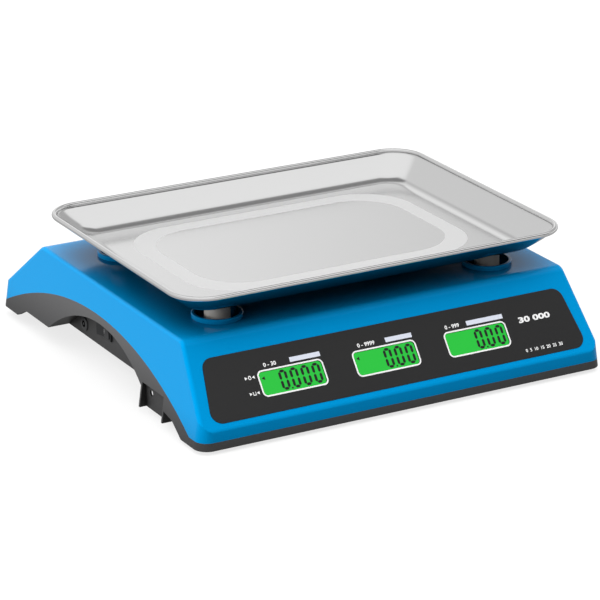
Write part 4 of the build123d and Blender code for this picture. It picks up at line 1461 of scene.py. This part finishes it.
@dataclass(frozen=True)
class Studio:
    """Floor, surroundings, lamps and camera.

    Metal and gloss show a room with four darker patches, and the lamps and a plain soft sky do the
    lighting.

    Args:
        sky: Strength of the soft sky, at the horizon and overhead.
        sky_front: What low light from the front is cut down to.
        ring: Ring halfway up the right and the back, between the bright walls and the bright ceiling. It
            is left out where it would be mirrored twice.
        front: The unlit end of the room behind the camera.
        right: The shaded wall on the right.
        left: The low left of the room.
        white: White's share of the floor's look, seen straight and by way of gloss.
        floor_lit: sRGB hex of the floor as the scale's light meets it.
        floor_seen: sRGB hex of the floor as the camera sees it.
        floor_half: Half size of the floor, in metres.
        lamps: The soft boxes.
        camera_place: Camera's place, in metres.
        camera_right: Camera's right direction.
        camera_up: Camera's up direction.
        lens: Focal length in millimetres.
        sensor: Width of the camera's sensor in millimetres.
    """

    sky: tuple[float, float] = (0.12, 2.5)
    sky_front: Patch = Patch(0.1, (Step(Way.DEEP, (-0.6, 0.0)), Step(Way.HEIGHT, (0.2, 0.7))))
    ring: Patch = Patch(0.25, (
        Step(Way.DEEP, (0.15, 0.3), before=True), Step(Way.ACROSS, (0.0, 0.15), before=True),
        Step(Way.HEIGHT, (0.53, 0.68), before=True), Step(Way.HEIGHT, (0.85, 0.885))))
    front: Patch = Patch(0.12, (
        Step(Way.HEIGHT, (0.4, 0.5), before=True, level=0.65), Step(Way.HEIGHT, (0.735, 0.775)),
        Step(Way.ACROSS, (0.05, 0.25), before=True), Step(Way.DEEP, (-0.82, -0.72), before=True),
        Step(Way.DEEP, (-0.5, -0.2))))
    right: Patch = Patch(0.5, (
        Step(Way.ACROSS, (0.36, 0.66), before=True), Step(Way.HEIGHT, (0.18, 0.3), before=True),
        Step(Way.HEIGHT, (0.54, 0.66))))
    left: Patch = Patch(0.77, (Step(Way.ACROSS, (0.1, 0.37)), Step(Way.HEIGHT, (0.6, 0.85))))
    white: tuple[float, float] = (0.75, 0.3)
    floor_lit: str = "#6e6e6e"
    floor_seen: str = "#f2f2f2"
    floor_half: float = 14.0
    lamps: tuple[Lamp, ...] = (Lamp("key_box", (-3.0, 0.1, 0.62), (2.2, 1.0), 60.0),)
    camera_place: tuple[float, float, float] = (-1.1558, -2.0556, 0.9066)
    camera_right: tuple[float, float, float] = (0.87079, -0.49166, 0.0)
    camera_up: tuple[float, float, float] = (0.17058, 0.30211, 0.93790)
    lens: float = 189.0
    sensor: float = 36.0

    def build(self) -> None:
        """Sets up the whole studio."""
        self.build_world()
        self.build_floor()
        for lamp in self.lamps:
            lamp.build()
        self.build_camera()

    @staticmethod
    def looked_at(tree: bpy.types.NodeTree) -> bpy.types.Node:
        """Adds a switch that is 1 where the camera looks, straight or through glass.

        Args:
            tree: Node tree to add to.

        Returns:
            The switch.
        """
        path = node(tree, "LightPath").outputs
        return node(tree, "Math", {"operation": "MAXIMUM"}, (
            path["Is Camera Ray"], path["Is Transmission Ray"]))

    @staticmethod
    def mirrored(tree: bpy.types.NodeTree) -> bpy.types.Node:
        """Adds a switch that is 1 where gloss or metal is looked at, and 0 where it lights a neighbour.

        Args:
            tree: Node tree to add to.

        Returns:
            The switch.
        """
        path = node(tree, "LightPath").outputs
        undiffused = node(tree, "Math", {"operation": "LESS_THAN"}, (path["Diffuse Depth"], NO_BOUNCE))
        return node(tree, "Math", {"operation": "MULTIPLY"}, (path["Is Glossy Ray"], undiffused))

    def build_world(self) -> None:
        """Makes the surroundings: white to look at, patched in a mirror and a soft sky as a light."""
        world = bpy.data.worlds.new("studio")
        bpy.context.scene.world = world
        world.use_nodes = True
        tree = world.node_tree
        tree.nodes.clear()
        direction = node(tree, "TexCoord").outputs["Generated"]
        ways = tuple(node(tree, "SeparateXYZ", inputs=(direction,)).outputs)
        depth = node(tree, "LightPath").outputs["Glossy Depth"]
        once = node(tree, "Math", {"operation": "LESS_THAN"}, (depth, ONE_BOUNCE))
        room = node(tree, "Mix", inputs={SHARE: once, NUMBER_A: 1.0, NUMBER_B: self.ring.build(tree, ways)})
        for patch in (self.left, self.front, self.right):
            room = node(tree, "Math", {"operation": "MULTIPLY"}, (room, patch.build(tree, ways)))
        sky = node(tree, "MapRange", inputs={
            "Value": ways[Way.HEIGHT.value], "To Min": self.sky[0], "To Max": self.sky[1]})
        soft = node(tree, "Math", {"operation": "MULTIPLY"}, (sky, self.sky_front.build(tree, ways)))
        unseen = node(tree, "Mix", inputs={SHARE: self.mirrored(tree), NUMBER_A: soft, NUMBER_B: room})
        level = node(tree, "Mix", inputs={SHARE: self.looked_at(tree), NUMBER_A: unseen, NUMBER_B: 1.0})
        shell = node(tree, "Background", inputs={"Color": WHITE, "Strength": level})
        node(tree, "OutputWorld", inputs={"Surface": shell})

    def build_floor(self) -> None:
        """Makes a pale floor that takes the scale's shadow and throws little light back."""
        material, tree = new_tree("pale_floor")
        camera = node(tree, "LightPath").outputs["Is Camera Ray"]
        pale = node(tree, "Mix", COLOURS, {
            SHARE: camera, COLOUR_A: linear(self.floor_lit), COLOUR_B: linear(self.floor_seen)})
        lit = node(tree, "BsdfDiffuse", inputs={"Color": pale.outputs[COLOUR_OUT]})
        glow = node(tree, "Emission", inputs={"Color": WHITE})
        seen = node(tree, "Math", {"operation": "MAXIMUM"}, (self.looked_at(tree), self.mirrored(tree)))
        straight = node(tree, "Math", {"operation": "MULTIPLY"}, (camera, self.white[0]))
        by_gloss = node(tree, "Math", {"operation": "MULTIPLY"}, (seen, self.white[1]))
        share = node(tree, "Math", {"operation": "MAXIMUM"}, (straight, by_gloss))
        finish_tree(tree, node(tree, "MixShader", inputs=(share, lit, glow)))
        mesh = bpy.data.meshes.new("floor")
        half = self.floor_half
        corners = np.column_stack([rectangle(-half, half, -half, half), np.zeros(4)])
        mesh.from_pydata(corners.tolist(), [], [[0, 1, 2, 3]])
        mesh.materials.append(material)
        floor = bpy.data.objects.new("floor", mesh)
        bpy.context.scene.collection.objects.link(floor)

    def build_camera(self) -> None:
        """Sets the camera."""
        data = bpy.data.cameras.new("camera")
        data.lens = self.lens
        data.sensor_width = self.sensor
        camera = bpy.data.objects.new("camera", data)
        right, up = Vector(self.camera_right), Vector(self.camera_up)
        turn = Matrix((right, up, right.cross(up))).transposed()
        camera.matrix_world = Matrix.Translation(self.camera_place) @ turn.to_4x4()
        bpy.context.scene.collection.objects.link(camera)
        bpy.context.scene.camera = camera
        bpy.context.scene.view_settings.view_transform = "Standard"


def main() -> None:
    """Dresses the construction, makes the new pieces and sets up the studio."""
    logging.basicConfig(level=logging.INFO, format="%(name)s: %(message)s")
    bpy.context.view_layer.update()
    materials = Materials()
    Construction().build(materials)
    customer = DisplayRow("customer", CUSTOMER, (-8.6, -2.3))
    operator = DisplayRow("operator", OPERATOR, (0.0, 15.5))
    for part in (customer, operator, CustomerPrint(customer), OperatorPrint(operator), Keypad(),
                 PanShape(), RockerMarks(), ScrewCrossShades(), LevelFace()):
        part.build(materials)
    Studio().build()


if __name__ == "__main__":
    main()
